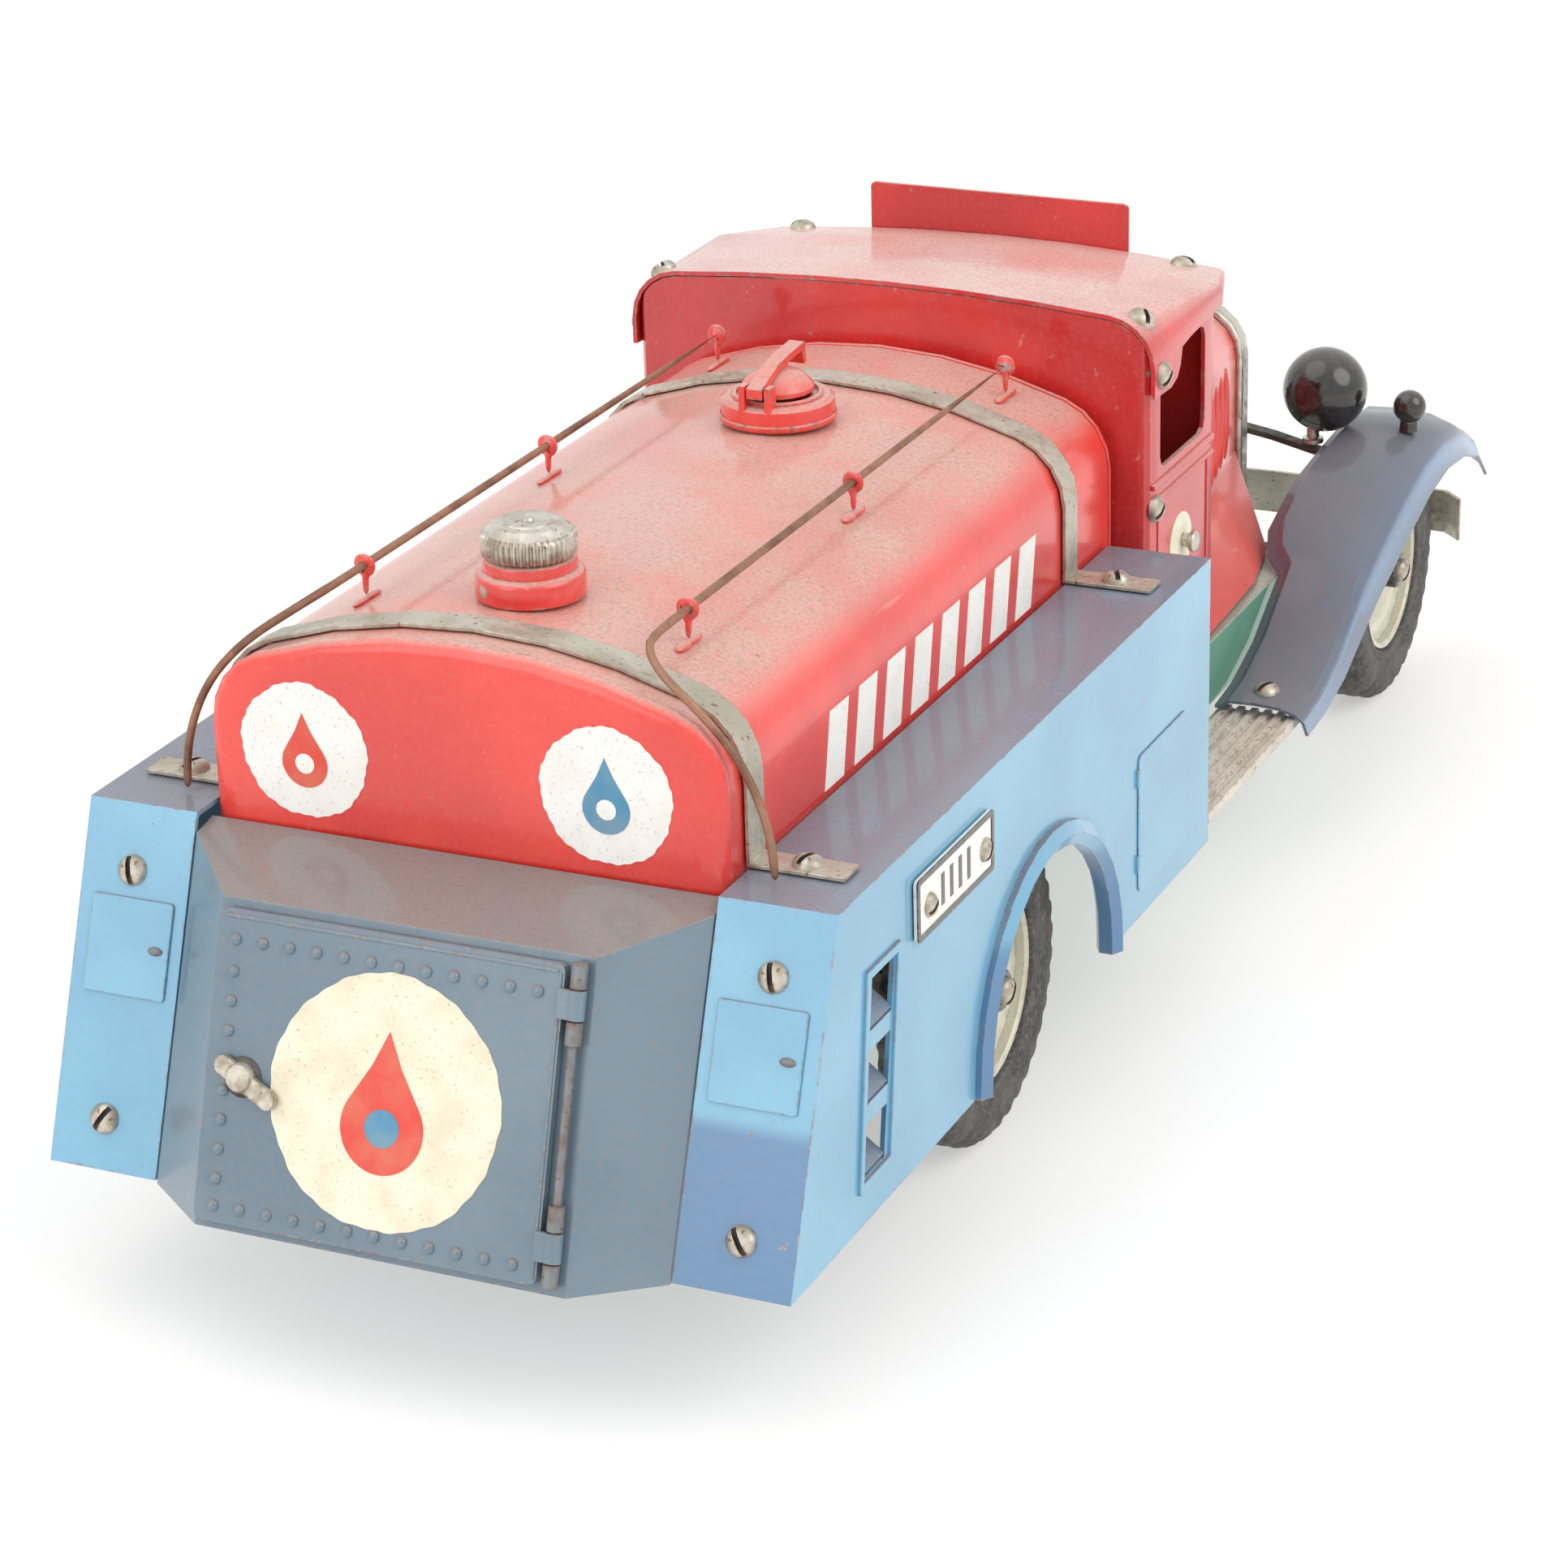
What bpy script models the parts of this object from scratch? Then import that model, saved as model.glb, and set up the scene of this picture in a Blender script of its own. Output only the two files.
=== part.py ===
"""Toy road tank lorry in pressed tinplate, held together with slotted screws.

The vehicle stands on the ground at z = 0 and faces +Y, with +X to its right.
Driving dimensions are in millimetres.  The helpers turn them into metres.
"""
import math

import bmesh
import bpy
from mathutils import Vector

MM = 0.001
GAP = 0.3                      # clearance between touching pieces

# --- driving dimensions, millimetres ---------------------------------------------
SHEET = 1.0                    # tinplate thickness

MIDDLE_Y = -4.4                 # middle of the whole length, which becomes the origin

AXLE_Z = 34.0                  # wheel centre height, and the tyre's radius
REAR_AXLE_Y = -89.9
FRONT_AXLE_Y = 184.0
TYRE_WIDTH = 15.0
RIM_RADIUS = 20.8
REAR_TRACK = 61.9              # wheel centre from the middle
FRONT_TRACK = 63.3
AXLE_RADIUS = 2.0
BORE_RADIUS = 2.1

PAN_TOP = 53.0                 # top of the chassis pan
PAN_DEPTH = 16.0
PAN_REAR = -188.0
PAN_FRONT = 214.0
PAN_HALF_REAR = 38.0
PAN_HALF_CAB = 59.6
PAN_HALF_FRONT = 17.0

BED_TOP = 70.6                 # top of the bed that carries the tank

BOX_TOP = 96.9                 # side boxes beside the tank
BOX_BOTTOM = 29.0
BOX_INNER = 55.9
BOX_OUTER = 80.0
BOX_REAR_TOP = -194.7          # the boxes' rear faces slant
BOX_REAR_BOTTOM = -220.3
BOX_FRONT = 10.1
ARCH_Z = 31.5
ARCH_RADIUS = 34.8
BEAD_RADIUS = 3.0

TANK_HALF = 55.0
TANK_TOP = 136.5
TANK_BOTTOM = 71.0
TANK_CROWN = 130.0             # radius of the crowned top
TANK_CORNER = 16.0
TANK_FOOT_CORNER = 10.0
TANK_REAR = -186.0
TANK_FRONT = 12.6
STRAP_YS = (-178.0, -13.3)
STRAP_WIDTH = 7.3
STRAP_FOOT_END = 75.5
REAR_FILLER_Y = -157.5
FRONT_FILLER_Y = -41.9

RAIL_X = 34.9
RAIL_Z = 138.9
RAIL_RADIUS = 1.0
EYELET_YS = (-160.5, -82.0, 2.0)

DOOR_FACE_TOP = (-212.9, 89.5)      # y, z of the locker's rear face
DOOR_FACE_BOTTOM = (-232.4, 28.5)
DOOR_FACE_HALF = 39.7
LOCKER_FRONT = -190.0
LOCKER_HALF = BOX_INNER - 0.4

CAB_REAR = 18.0
CAB_FRONT = 62.7
CAB_HALF = 62.7
CAB_BOTTOM = PAN_TOP + GAP
ROOF_HALF = CAB_HALF + GAP + SHEET
ROOF_CROWN = 532.0             # radius of the slightly crowned top
ROOF_REAR = CAB_REAR - 0.2
ROOF_FRONT = 85.0
ROOF_STATIONS = (              # y, half width, height of the crown, corner radius
    (ROOF_REAR, ROOF_HALF, 150.3, 12.0),
    (CAB_FRONT, ROOF_HALF, 147.2, 2.6),
    (ROOF_FRONT, 57.0, 143.2, 2.0),
)

RADIATOR_Y = 160.0
RADIATOR_HALF = 36.0
RADIATOR_TOP = 109.5
RADIATOR_DEPTH = 6.0
HOOD_FLARE = 16.0              # height of the bonnet's flared foot
HOOD_LIFT = 0.8                # the leaning sheet's inner edge lies lower than its outer one

KINGPIN_X = 48.0
STEER_ARM = 14.0


# --- tools ---------------------------------------------------------------------
TURN = {
    "side": (math.radians(90), 0, math.radians(90)),    # outline (y, z), thick along X
    "front": (math.radians(90), 0, 0),                  # outline (x, z), thick along Y
    "top": (0, 0, 0),                                   # outline (x, y), thick along Z
}
AXIS_TURN = {
    "X": (0, math.radians(90), 0),
    "-X": (0, math.radians(-90), 0),
    "Y": (math.radians(-90), 0, 0),
    "-Y": (math.radians(90), 0, 0),
    "Z": (0, 0, 0),
}


def clear_scene():
    for item in list(bpy.data.objects):
        bpy.data.objects.remove(item, do_unlink=True)


def new_collection(name):
    collection = bpy.data.collections.new(name)
    bpy.context.scene.collection.children.link(collection)
    return collection


clear_scene()
PARTS = new_collection("tank_lorry")
CUTTERS = new_collection("cutters")


def make_material(name, colour, roughness, metallic=0.0):
    material = bpy.data.materials.new(name)
    material.use_nodes = True
    shader = material.node_tree.nodes["Principled BSDF"]
    shader.inputs["Base Color"].default_value = (*colour, 1.0)
    shader.inputs["Roughness"].default_value = roughness
    shader.inputs["Metallic"].default_value = metallic
    material.diffuse_color = (*colour, 1.0)
    return material


RED = make_material("red_enamel", (0.64, 0.05, 0.035), 0.35)
BLUE = make_material("light_blue_enamel", (0.33, 0.58, 0.78), 0.4)
SLATE = make_material("slate_blue_enamel", (0.22, 0.27, 0.34), 0.45)
GREEN = make_material("green_enamel", (0.12, 0.33, 0.22), 0.45)
CREAM = make_material("cream_enamel", (0.74, 0.72, 0.58), 0.45)
BLACK = make_material("black_enamel", (0.02, 0.02, 0.02), 0.3)
RUBBER = make_material("black_rubber", (0.03, 0.03, 0.03), 0.8)
NICKEL = make_material("nickel", (0.66, 0.62, 0.54), 0.3, 1.0)
TIN = make_material("tinned_steel", (0.46, 0.43, 0.36), 0.4, 1.0)
COPPER = make_material("coppered_wire", (0.42, 0.26, 0.16), 0.4, 1.0)
WHITE = make_material("white_enamel", (0.85, 0.85, 0.82), 0.4)


def link(obj, collection):
    collection.objects.link(obj)
    return obj


def finish(obj, material, parent=None):
    """Give a sub-part its material and put it with the other parts."""
    obj.data.materials.clear()
    obj.data.materials.append(material)
    for collection in list(obj.users_collection):
        collection.objects.unlink(obj)
    PARTS.objects.link(obj)
    obj.hide_render = False
    obj.display_type = "TEXTURED"
    if parent is not None:
        obj.parent = parent
    if obj.type == "MESH":
        obj.data.shade_smooth()
        obj.data.set_sharp_from_angle(angle=math.radians(35))
    return obj


def empty(name, at, turn=(0, 0, 0)):
    obj = bpy.data.objects.new(name, None)
    obj.location = [c * MM for c in at]
    obj.rotation_euler = turn
    return link(obj, PARTS)


def loose(name, mesh, at=(0, 0, 0), turn=(0, 0, 0)):
    """A mesh object that is a cutter until finish() makes it a sub-part."""
    obj = bpy.data.objects.new(name, mesh)
    obj.location = [c * MM for c in at]
    obj.rotation_euler = turn
    obj.hide_render = True
    obj.display_type = "WIRE"
    return link(obj, CUTTERS)


def curve_to_mesh(obj):
    """Turn a curve object into a mesh object with its caps welded on."""
    bpy.context.view_layer.update()
    graph = bpy.context.evaluated_depsgraph_get()
    mesh = bpy.data.meshes.new_from_object(obj.evaluated_get(graph))
    work = bmesh.new()
    work.from_mesh(mesh)
    bmesh.ops.remove_doubles(work, verts=work.verts, dist=1e-6)
    work.to_mesh(mesh)
    work.free()
    name = obj.name
    at = [c / MM for c in obj.location]
    turn = tuple(obj.rotation_euler)
    curve = obj.data
    bpy.data.objects.remove(obj, do_unlink=True)
    bpy.data.curves.remove(curve)
    mesh.name = name
    return loose(name, mesh, at, turn)


def prism(name, outline, thickness, view, at=(0, 0, 0), turn=None):
    """A flat outline with thickness, centred on `at` across its thickness."""
    curve = bpy.data.curves.new(name, "CURVE")
    curve.dimensions = "2D"
    curve.fill_mode = "BOTH"
    curve.extrude = thickness * MM / 2
    spline = curve.splines.new("POLY")
    spline.points.add(len(outline) - 1)
    for point, (u, v) in zip(spline.points, outline):
        point.co = (u * MM, v * MM, 0, 1)
    spline.use_cyclic_u = True
    obj = bpy.data.objects.new(name, curve)
    obj.location = [c * MM for c in at]
    obj.rotation_euler = TURN[view] if turn is None else turn
    link(obj, CUTTERS)
    return curve_to_mesh(obj)


def box(name, size, centre, turn=(0, 0, 0)):
    mesh = bpy.data.meshes.new(name)
    work = bmesh.new()
    bmesh.ops.create_cube(work, size=1.0)
    bmesh.ops.scale(work, vec=[s * MM for s in size], verts=work.verts)
    work.to_mesh(mesh)
    work.free()
    return loose(name, mesh, centre, turn)


def cylinder(name, radius, length, centre, axis="Z", segments=24):
    mesh = bpy.data.meshes.new(name)
    work = bmesh.new()
    bmesh.ops.create_cone(work, cap_ends=True, segments=segments, radius1=radius * MM,
                          radius2=radius * MM, depth=length * MM)
    work.to_mesh(mesh)
    work.free()
    return loose(name, mesh, centre, AXIS_TURN[axis])


def turned(name, profile, at, axis="Z", steps=32, closed=False):
    """A turned piece: profile points (radius, height), outer side from top to bottom."""
    mesh = bpy.data.meshes.new(name)
    count = len(profile)
    edges = [(i, i + 1) for i in range(count - 1)]
    if closed:
        edges.append((count - 1, 0))
    mesh.from_pydata([(r * MM, 0, z * MM) for r, z in profile], edges, [])
    obj = loose(name, mesh, at, AXIS_TURN[axis])
    screw = obj.modifiers.new("Turn", "SCREW")
    screw.steps = steps
    screw.render_steps = steps
    screw.use_merge_vertices = True
    screw.merge_threshold = 1e-5
    screw.use_smooth_shade = True
    return obj


def wire(name, points, radius, resolution=2):
    """A bent wire through hand-set points (smoothed), with filled ends."""
    curve = bpy.data.curves.new(name, "CURVE")
    curve.dimensions = "3D"
    curve.bevel_depth = radius * MM
    curve.bevel_resolution = resolution
    curve.use_fill_caps = True
    spline = curve.splines.new("POLY")
    spline.points.add(len(points) - 1)
    for point, co in zip(spline.points, points):
        point.co = (*[c * MM for c in co], 1)
    obj = bpy.data.objects.new(name, curve)
    link(obj, CUTTERS)
    return curve_to_mesh(obj)


def hull(name, points):
    """The convex solid on a set of corner points."""
    mesh = bpy.data.meshes.new(name)
    work = bmesh.new()
    for point in points:
        work.verts.new([c * MM for c in point])
    result = bmesh.ops.convex_hull(work, input=work.verts)
    spare = [e for e in result["geom_interior"] if isinstance(e, bmesh.types.BMVert)]
    bmesh.ops.delete(work, geom=spare, context="VERTS")
    bmesh.ops.dissolve_limit(work, angle_limit=0.001, verts=work.verts, edges=work.edges)
    bmesh.ops.recalc_face_normals(work, faces=work.faces)
    work.to_mesh(mesh)
    work.free()
    return loose(name, mesh)


def loft(name, rings, closed_rings=True, caps=True):
    """Skin a row of rings that all have the same number of points."""
    mesh = bpy.data.meshes.new(name)
    work = bmesh.new()
    rows = [[work.verts.new([c * MM for c in point]) for point in ring] for ring in rings]
    count = len(rows[0])
    last = count if closed_rings else count - 1
    for near, far in zip(rows, rows[1:]):
        for i in range(last):
            j = (i + 1) % count
            work.faces.new((near[i], near[j], far[j], far[i]))
    if caps:
        work.faces.new(rows[0])
        work.faces.new(rows[-1])
    bmesh.ops.recalc_face_normals(work, faces=work.faces)
    work.to_mesh(mesh)
    work.free()
    return loose(name, mesh)


def solidify(obj, thickness, offset):
    shell = obj.modifiers.new("Sheet", "SOLIDIFY")
    shell.thickness = thickness * MM
    shell.offset = offset
    return obj


def boolean(target, tool, operation):
    step = target.modifiers.new(operation.title(), "BOOLEAN")
    step.operation = operation
    step.solver = "EXACT"
    step.object = tool
    return target


def cut(target, *tools):
    for tool in tools:
        boolean(target, tool, "DIFFERENCE")
    return target


def join(target, *tools):
    for tool in tools:
        boolean(target, tool, "UNION")
    return target


def arc(cx, cz, radius, start, end, count):
    """Points on an arc, angles in degrees, both ends included."""
    step = (end - start) / (count - 1)
    angles = [math.radians(start + step * i) for i in range(count)]
    return [(cx + radius * math.cos(a), cz + radius * math.sin(a)) for a in angles]


def rounded_box(u0, v0, u1, v1, radius, count=4):
    points = []
    points += arc(u1 - radius, v1 - radius, radius, 0, 90, count)
    points += arc(u0 + radius, v1 - radius, radius, 90, 180, count)
    points += arc(u0 + radius, v0 + radius, radius, 180, 270, count)
    points += arc(u1 - radius, v0 + radius, radius, 270, 360, count)
    return points


def crowned_arch(half, top, corner, crown, corner_count=5, crown_count=7):
    """From the right side up over a crowned top and down to the left side."""
    centre_x = half - corner
    crown_z = top - crown
    corner_z = crown_z + math.sqrt((crown - corner) ** 2 - centre_x ** 2)
    meet = math.degrees(math.atan2(corner_z - crown_z, centre_x))
    right = arc(centre_x, corner_z, corner, 0, meet, corner_count)
    over = arc(0, crown_z, crown, meet, 180 - meet, crown_count)[1:-1]
    left = arc(-centre_x, corner_z, corner, 180 - meet, 180, corner_count)
    return right + over + left


def tank_outline(inset):
    """The tank's closed section, moved inwards by `inset`."""
    foot = max(TANK_FOOT_CORNER - inset, 1.0)
    corner = max(TANK_CORNER - inset, 2.0)
    half = TANK_HALF - inset
    base = TANK_BOTTOM + inset
    points = crowned_arch(half, TANK_TOP - inset, corner, TANK_CROWN - inset)
    points += arc(-half + foot, base + foot, foot, 180, 270, 4)
    points += arc(half - foot, base + foot, foot, 270, 360, 4)
    return points


def mirrored(points):
    return [(-u, v) for u, v in reversed(points)]


# --- chassis -------------------------------------------------------------------
def pan_half(inset):
    """Right half of the chassis plan, from rear to front."""
    return [
        (PAN_HALF_REAR - inset, PAN_REAR + inset),
        (PAN_HALF_REAR - inset, 4.0 + inset),
        (PAN_HALF_CAB - inset, 12.0 + inset),
        (PAN_HALF_CAB - inset, 134.0 - inset),
        (PAN_HALF_FRONT - inset, 148.0 - inset),
        (PAN_HALF_FRONT - inset, PAN_FRONT - inset),
    ]


def make_chassis():
    """An upturned pan of sheet: a top plate with flanges all round."""
    middle = PAN_TOP - PAN_DEPTH / 2
    outside = pan_half(0)
    inside = pan_half(SHEET)
    pan = prism("chassis_frame", outside + mirrored(outside), PAN_DEPTH, "top", (0, 0, middle))
    hollow = prism("pan_hollow", inside + mirrored(inside), PAN_DEPTH, "top",
                   (0, 0, middle - SHEET))
    cut(pan, hollow)
    finish(pan, GREEN)


def make_tank_bed():
    """The raised channel between the chassis and the tank."""
    half = 40.0
    low = PAN_TOP + GAP
    outline = [(half, low), (half, BED_TOP), (-half, BED_TOP), (-half, low),
               (-half + SHEET, low), (-half + SHEET, BED_TOP - SHEET),
               (half - SHEET, BED_TOP - SHEET), (half - SHEET, low)]
    length = 12.0 + 184.0
    finish(prism("tank_bed", outline, length, "front", (0, 12.0 - length / 2, 0)), GREEN)


def make_running_board(side, label):
    """A ribbed step between the side box and the front wing."""
    inner = PAN_HALF_CAB + GAP
    outer = BOX_OUTER
    low = 33.0
    plate = 34.6
    ribs = 6
    pitch = (outer - inner) / ribs
    outline = [(outer, low)]
    for rib in range(ribs):
        edge = outer - rib * pitch
        outline += [(edge, plate + 0.9), (edge - pitch * 0.55, plate + 0.9)]
        outline += [(edge - pitch * 0.55, plate), (edge - pitch, plate)]
    outline += [(inner, low)]
    if side < 0:
        outline = mirrored(outline)
    start = BOX_FRONT + 0.6
    end = 76.0
    board = prism(f"running_board_{label}", outline, end - start, "front",
                  (0, (start + end) / 2, 0))
    finish(board, TIN)


# --- side boxes -----------------------------------------------------------------
def box_profile(inset, drop):
    """A side box's side view.  `drop` lengthens it downwards, for a cutter."""
    slope = (BOX_REAR_TOP - BOX_REAR_BOTTOM) / (BOX_TOP - BOX_BOTTOM)
    low = BOX_BOTTOM - drop
    return [
        (BOX_REAR_BOTTOM - drop * slope + inset, low),
        (BOX_FRONT - inset, low),
        (BOX_FRONT - inset, BOX_TOP - inset),
        (BOX_REAR_TOP - inset * slope + inset, BOX_TOP - inset),
    ]


def make_vents(side, label):
    """Three slanted openings behind the wheel arch."""
    slope = (BOX_REAR_TOP - BOX_REAR_BOTTOM) / (BOX_TOP - BOX_BOTTOM)
    cutters = []
    for row in range(3):
        top = 78.0 - row * 14.4
        low = top - 10.5
        rear_top = -181.0 - (78.0 - top) * slope * 0.45
        rear_low = rear_top - 10.5 * slope * 0.45
        outline = [(rear_low, low), (rear_low + 11.5, low), (rear_top + 11.5, top),
                   (rear_top, top)]
        cutters.append(prism(f"vent_{label}_{row}", outline, 8.0, "side",
                             (side * BOX_OUTER, 0, 0)))
    return cutters


def make_side_box(side, label):
    """Top, outer side, rear and front of sheet, open underneath and towards the tank."""
    width = BOX_OUTER - BOX_INNER
    middle = side * (BOX_INNER + BOX_OUTER) / 2
    body = prism(f"side_box_{label}", box_profile(0, 0), width, "side", (middle, 0, 0))
    hollow = prism(f"box_hollow_{label}", box_profile(SHEET, 20), width + 4, "side",
                   (middle - side * (SHEET + 2), 0, 0))
    cut(body, hollow)
    arch = prism(f"arch_{label}", arc(REAR_AXLE_Y, ARCH_Z, ARCH_RADIUS, 0, 180, 17)
                 + [(REAR_AXLE_Y - ARCH_RADIUS, 0), (REAR_AXLE_Y + ARCH_RADIUS, 0)],
                 12, "side", (side * BOX_OUTER, 0, 0))
    bead_line = arc(REAR_AXLE_Y, ARCH_Z, ARCH_RADIUS + BEAD_RADIUS - 0.4, 0, 180, 17)
    path = [(side * (BOX_OUTER - 0.2), y, z) for y, z in bead_line]
    path = [(path[0][0], path[0][1], BOX_BOTTOM)] + path + [(path[0][0], path[-1][1], BOX_BOTTOM)]
    cut(body, arch)
    join(body, wire(f"bead_{label}", path, BEAD_RADIUS, 1))
    cut(body, *make_vents(side, label))
    finish(body, BLUE)


def make_number_plate():
    """A plain plate on the right-hand box."""
    plate = prism("number_plate", rounded_box(-160.8, 76.6, -122.0, 89.6, 1.0, 3), 0.8, "side",
                  (BOX_OUTER + GAP + 0.4, 0, 0))
    finish(plate, WHITE)


# --- rear locker -------------------------------------------------------------------
def slant_y(z, top, bottom):
    share = (z - bottom[1]) / (top[1] - bottom[1])
    return bottom[0] + share * (top[0] - bottom[0])


def locker_corners(inset):
    """Corner points of the locker: chamfered sides, slanted rear, sloping top."""
    box_top = (BOX_REAR_TOP, BOX_TOP)
    box_bottom = (BOX_REAR_BOTTOM, BOX_BOTTOM)
    low = DOOR_FACE_BOTTOM[1] + inset
    high = DOOR_FACE_TOP[1] - inset
    shoulder = 93.4 - inset
    front_top = 94.6 - inset
    face = DOOR_FACE_HALF - inset * 0.6
    half = LOCKER_HALF - inset
    points = []
    for sign in (-1, 1):
        points += [
            (sign * face, slant_y(low, DOOR_FACE_TOP, DOOR_FACE_BOTTOM) + inset, low),
            (sign * face, slant_y(high, DOOR_FACE_TOP, DOOR_FACE_BOTTOM) + inset, high),
            (sign * half, slant_y(low, box_top, box_bottom) + inset, low),
            (sign * half, slant_y(shoulder, box_top, box_bottom) + inset, shoulder),
            (sign * half, LOCKER_FRONT - inset, low),
            (sign * half, LOCKER_FRONT - inset, front_top),
        ]
    return points


FACE_RUN = (DOOR_FACE_TOP[0] - DOOR_FACE_BOTTOM[0], DOOR_FACE_TOP[1] - DOOR_FACE_BOTTOM[1])
FACE_LEAN = -math.atan2(FACE_RUN[0], FACE_RUN[1])
HINGE_X = 37.2
HINGE_OUT = 1.9                # hinge axis, outwards from the face
DOOR_LEFT = -39.0
DOOR_RIGHT = 34.4
DOOR_TOP = -1.8
DOOR_BOTTOM = -62.2
HANDLE_X = -30.8
HANDLE_DOWN = -33.5
KNUCKLES = (("upper", -9.0), ("lower", -54.5))


def face_empty(name, x=0.0, out=0.0, along=0.0):
    """An empty on the locker's rear face: local Z up the face, local -Y outwards."""
    up = Vector((0, -math.sin(FACE_LEAN), math.cos(FACE_LEAN)))
    outward = Vector((0, -math.cos(FACE_LEAN), -math.sin(FACE_LEAN)))
    at = Vector((x, *DOOR_FACE_TOP)) + up * along + outward * out
    return empty(name, at, (FACE_LEAN, 0, 0))


def on_parent(obj, parent):
    """Move a loose tool into the frame of an empty."""
    obj.parent = parent
    return obj


def make_locker():
    body = hull("locker_body", locker_corners(0))
    cut(body, hull("locker_hollow", locker_corners(SHEET)))
    face = face_empty("locker_face")
    doorway = prism("doorway", rounded_box(-35.0, -58.5, 32.0, -5.5, 3.0, 3), 12, "front")
    cut(body, on_parent(doorway, face))
    cut(body, cylinder("tap_hole", 3.5, 12, (TAP_X, LOCKER_FRONT, TAP_Z), "Y"))
    finish(body, SLATE)


def make_locker_door():
    """A leaf with two knuckles that turn on the fixed hinge pins."""
    hinge = face_empty("locker_door_axis", HINGE_X, HINGE_OUT)
    leaf_outline = rounded_box(DOOR_LEFT - HINGE_X, DOOR_BOTTOM, DOOR_RIGHT - HINGE_X,
                               DOOR_TOP, 1.5, 3)
    leaf = prism("locker_door", leaf_outline, 1.8, "front", (0, 0.7, 0))
    for label, along in KNUCKLES:
        arm = box(f"door_arm_{label}", (4.2, 1.2, 5.6), (-1.4, -0.6, along))
        knuckle = cylinder(f"door_knuckle_{label}", 1.75, 5.6, (0, 0, along), "Z", 16)
        bore = cylinder(f"door_bore_{label}", 0.95, 9.0, (0, 0, along), "Z", 24)
        join(leaf, on_parent(arm, hinge), on_parent(knuckle, hinge))
        cut(leaf, on_parent(bore, hinge))
    spindle = cylinder("spindle_hole", 1.5, 8, (HANDLE_X - HINGE_X, 0.7, HANDLE_DOWN), "Y")
    cut(leaf, on_parent(spindle, hinge))
    finish(leaf, SLATE, hinge)


def make_door_hinge():
    """One fixed hinge pin with a barrel at each side of the door's two knuckles."""
    hinge = face_empty("hinge_pin_axis", HINGE_X, HINGE_OUT)
    profile = [(0, -1.0)]
    for _, along in KNUCKLES:
        profile += [(1.6, along + 8.0), (1.6, along + 3.1), (0.86, along + 3.1),
                    (0.86, along - 3.1), (1.6, along - 3.1), (1.6, along - 7.5)]
        profile += [(0.86, along - 7.5)]
    profile[-1] = (0, profile[-2][1])
    profile.insert(8, (0.86, KNUCKLES[1][1] + 8.0))
    finish(turned("door_hinge_pin", profile, (0, 0, 0), "Z", 14), TIN, hinge)


def make_locker_handle():
    """A lever on a short spindle, with a retaining head inside the door."""
    axis = face_empty("locker_handle_axis", HANDLE_X, 0, HANDLE_DOWN)
    profile = [(0, 4.6), (2.6, 4.4), (3.0, 3.6), (3.0, 2.5), (1.35, 2.5), (1.35, -0.15),
               (2.4, -0.15), (2.4, -1.3), (0, -1.3)]
    handle = turned("locker_handle", profile, (0, 0, 0), "-Y", 20)
    lever = prism("lever", rounded_box(-6.0, -1.9, 9.0, 1.9, 1.8, 4), 1.3, "front",
                  (0, -3.3, 0), (math.radians(90), math.radians(28), 0))
    join(handle, on_parent(lever, axis))
    finish(handle, NICKEL, axis)


TAP_X = 8.0
TAP_Z = 80.0


def make_drain_tap():
    """Outlet pipe from the tank's rear end, with a spout in the locker."""
    length = 14.0
    inner = -189.4
    tap = cylinder("drain_tap", 3.2, length, (TAP_X, inner - length / 2, TAP_Z), "Y", 20)
    spout = cylinder("spout", 2.6, 12.0, (TAP_X, inner - length + 3.4, TAP_Z - 6.0), "Z", 16)
    body = cylinder("tap_body", 3.8, 6.4, (TAP_X, inner - length + 3.4, TAP_Z), "Z", 20)
    seat = cylinder("tap_seat", 1.3, 4.0, (TAP_X, inner - length + 3.4, TAP_Z + 2.0), "Z", 16)
    join(tap, spout, body)
    cut(tap, seat)
    finish(tap, TIN)


def make_tap_lever():
    axis = empty("tap_lever_axis", (TAP_X, -189.4 - 10.6, TAP_Z + 3.6))
    lever = cylinder("tap_lever", 2.6, 1.4, (0, 0, 0.9), "Z", 20)
    arm = box("tap_arm", (11.0, 2.0, 1.2), (5.0, 0, 0.9))
    stem = cylinder("tap_stem", 1.0, 3.4, (0, 0, -1.1), "Z", 16)
    join(lever, on_parent(arm, axis), on_parent(stem, axis))
    finish(lever, NICKEL, axis)


# --- tank ------------------------------------------------------------------------
def make_tank_shell():
    length = TANK_FRONT - TANK_REAR
    middle = (TANK_FRONT + TANK_REAR) / 2
    shell = prism("tank_shell", tank_outline(0), length, "front", (0, middle, 0))
    cut(shell, prism("tank_hollow", tank_outline(SHEET), length + 10, "front", (0, middle, 0)))
    cut(shell, cylinder("rear_neck_hole", 8.1, 30, (0, REAR_FILLER_Y, TANK_TOP), "Z", 24))
    cut(shell, cylinder("front_neck_hole", 9.1, 30, (0, FRONT_FILLER_Y, TANK_TOP), "Z", 24))
    finish(shell, RED)


def make_tank_end(label, edge, outward):
    """A pressed end: a plug inside the shell, and a flat face with a rounded-over edge."""
    steps = ((SHEET + 0.3, -3.0), (SHEET + 0.3, GAP), (-0.2, GAP), (-0.2, 1.3), (0.4, 2.2),
             (1.4, 2.8), (3.0, 3.1), (6.0, 3.2), (26.0, 3.2))
    rings = []
    for inset, out in steps:
        y = edge + outward * out
        rings.append([(x, y, z) for x, z in tank_outline(inset)])
    finish(loft(f"tank_end_{label}", rings), RED)


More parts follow.
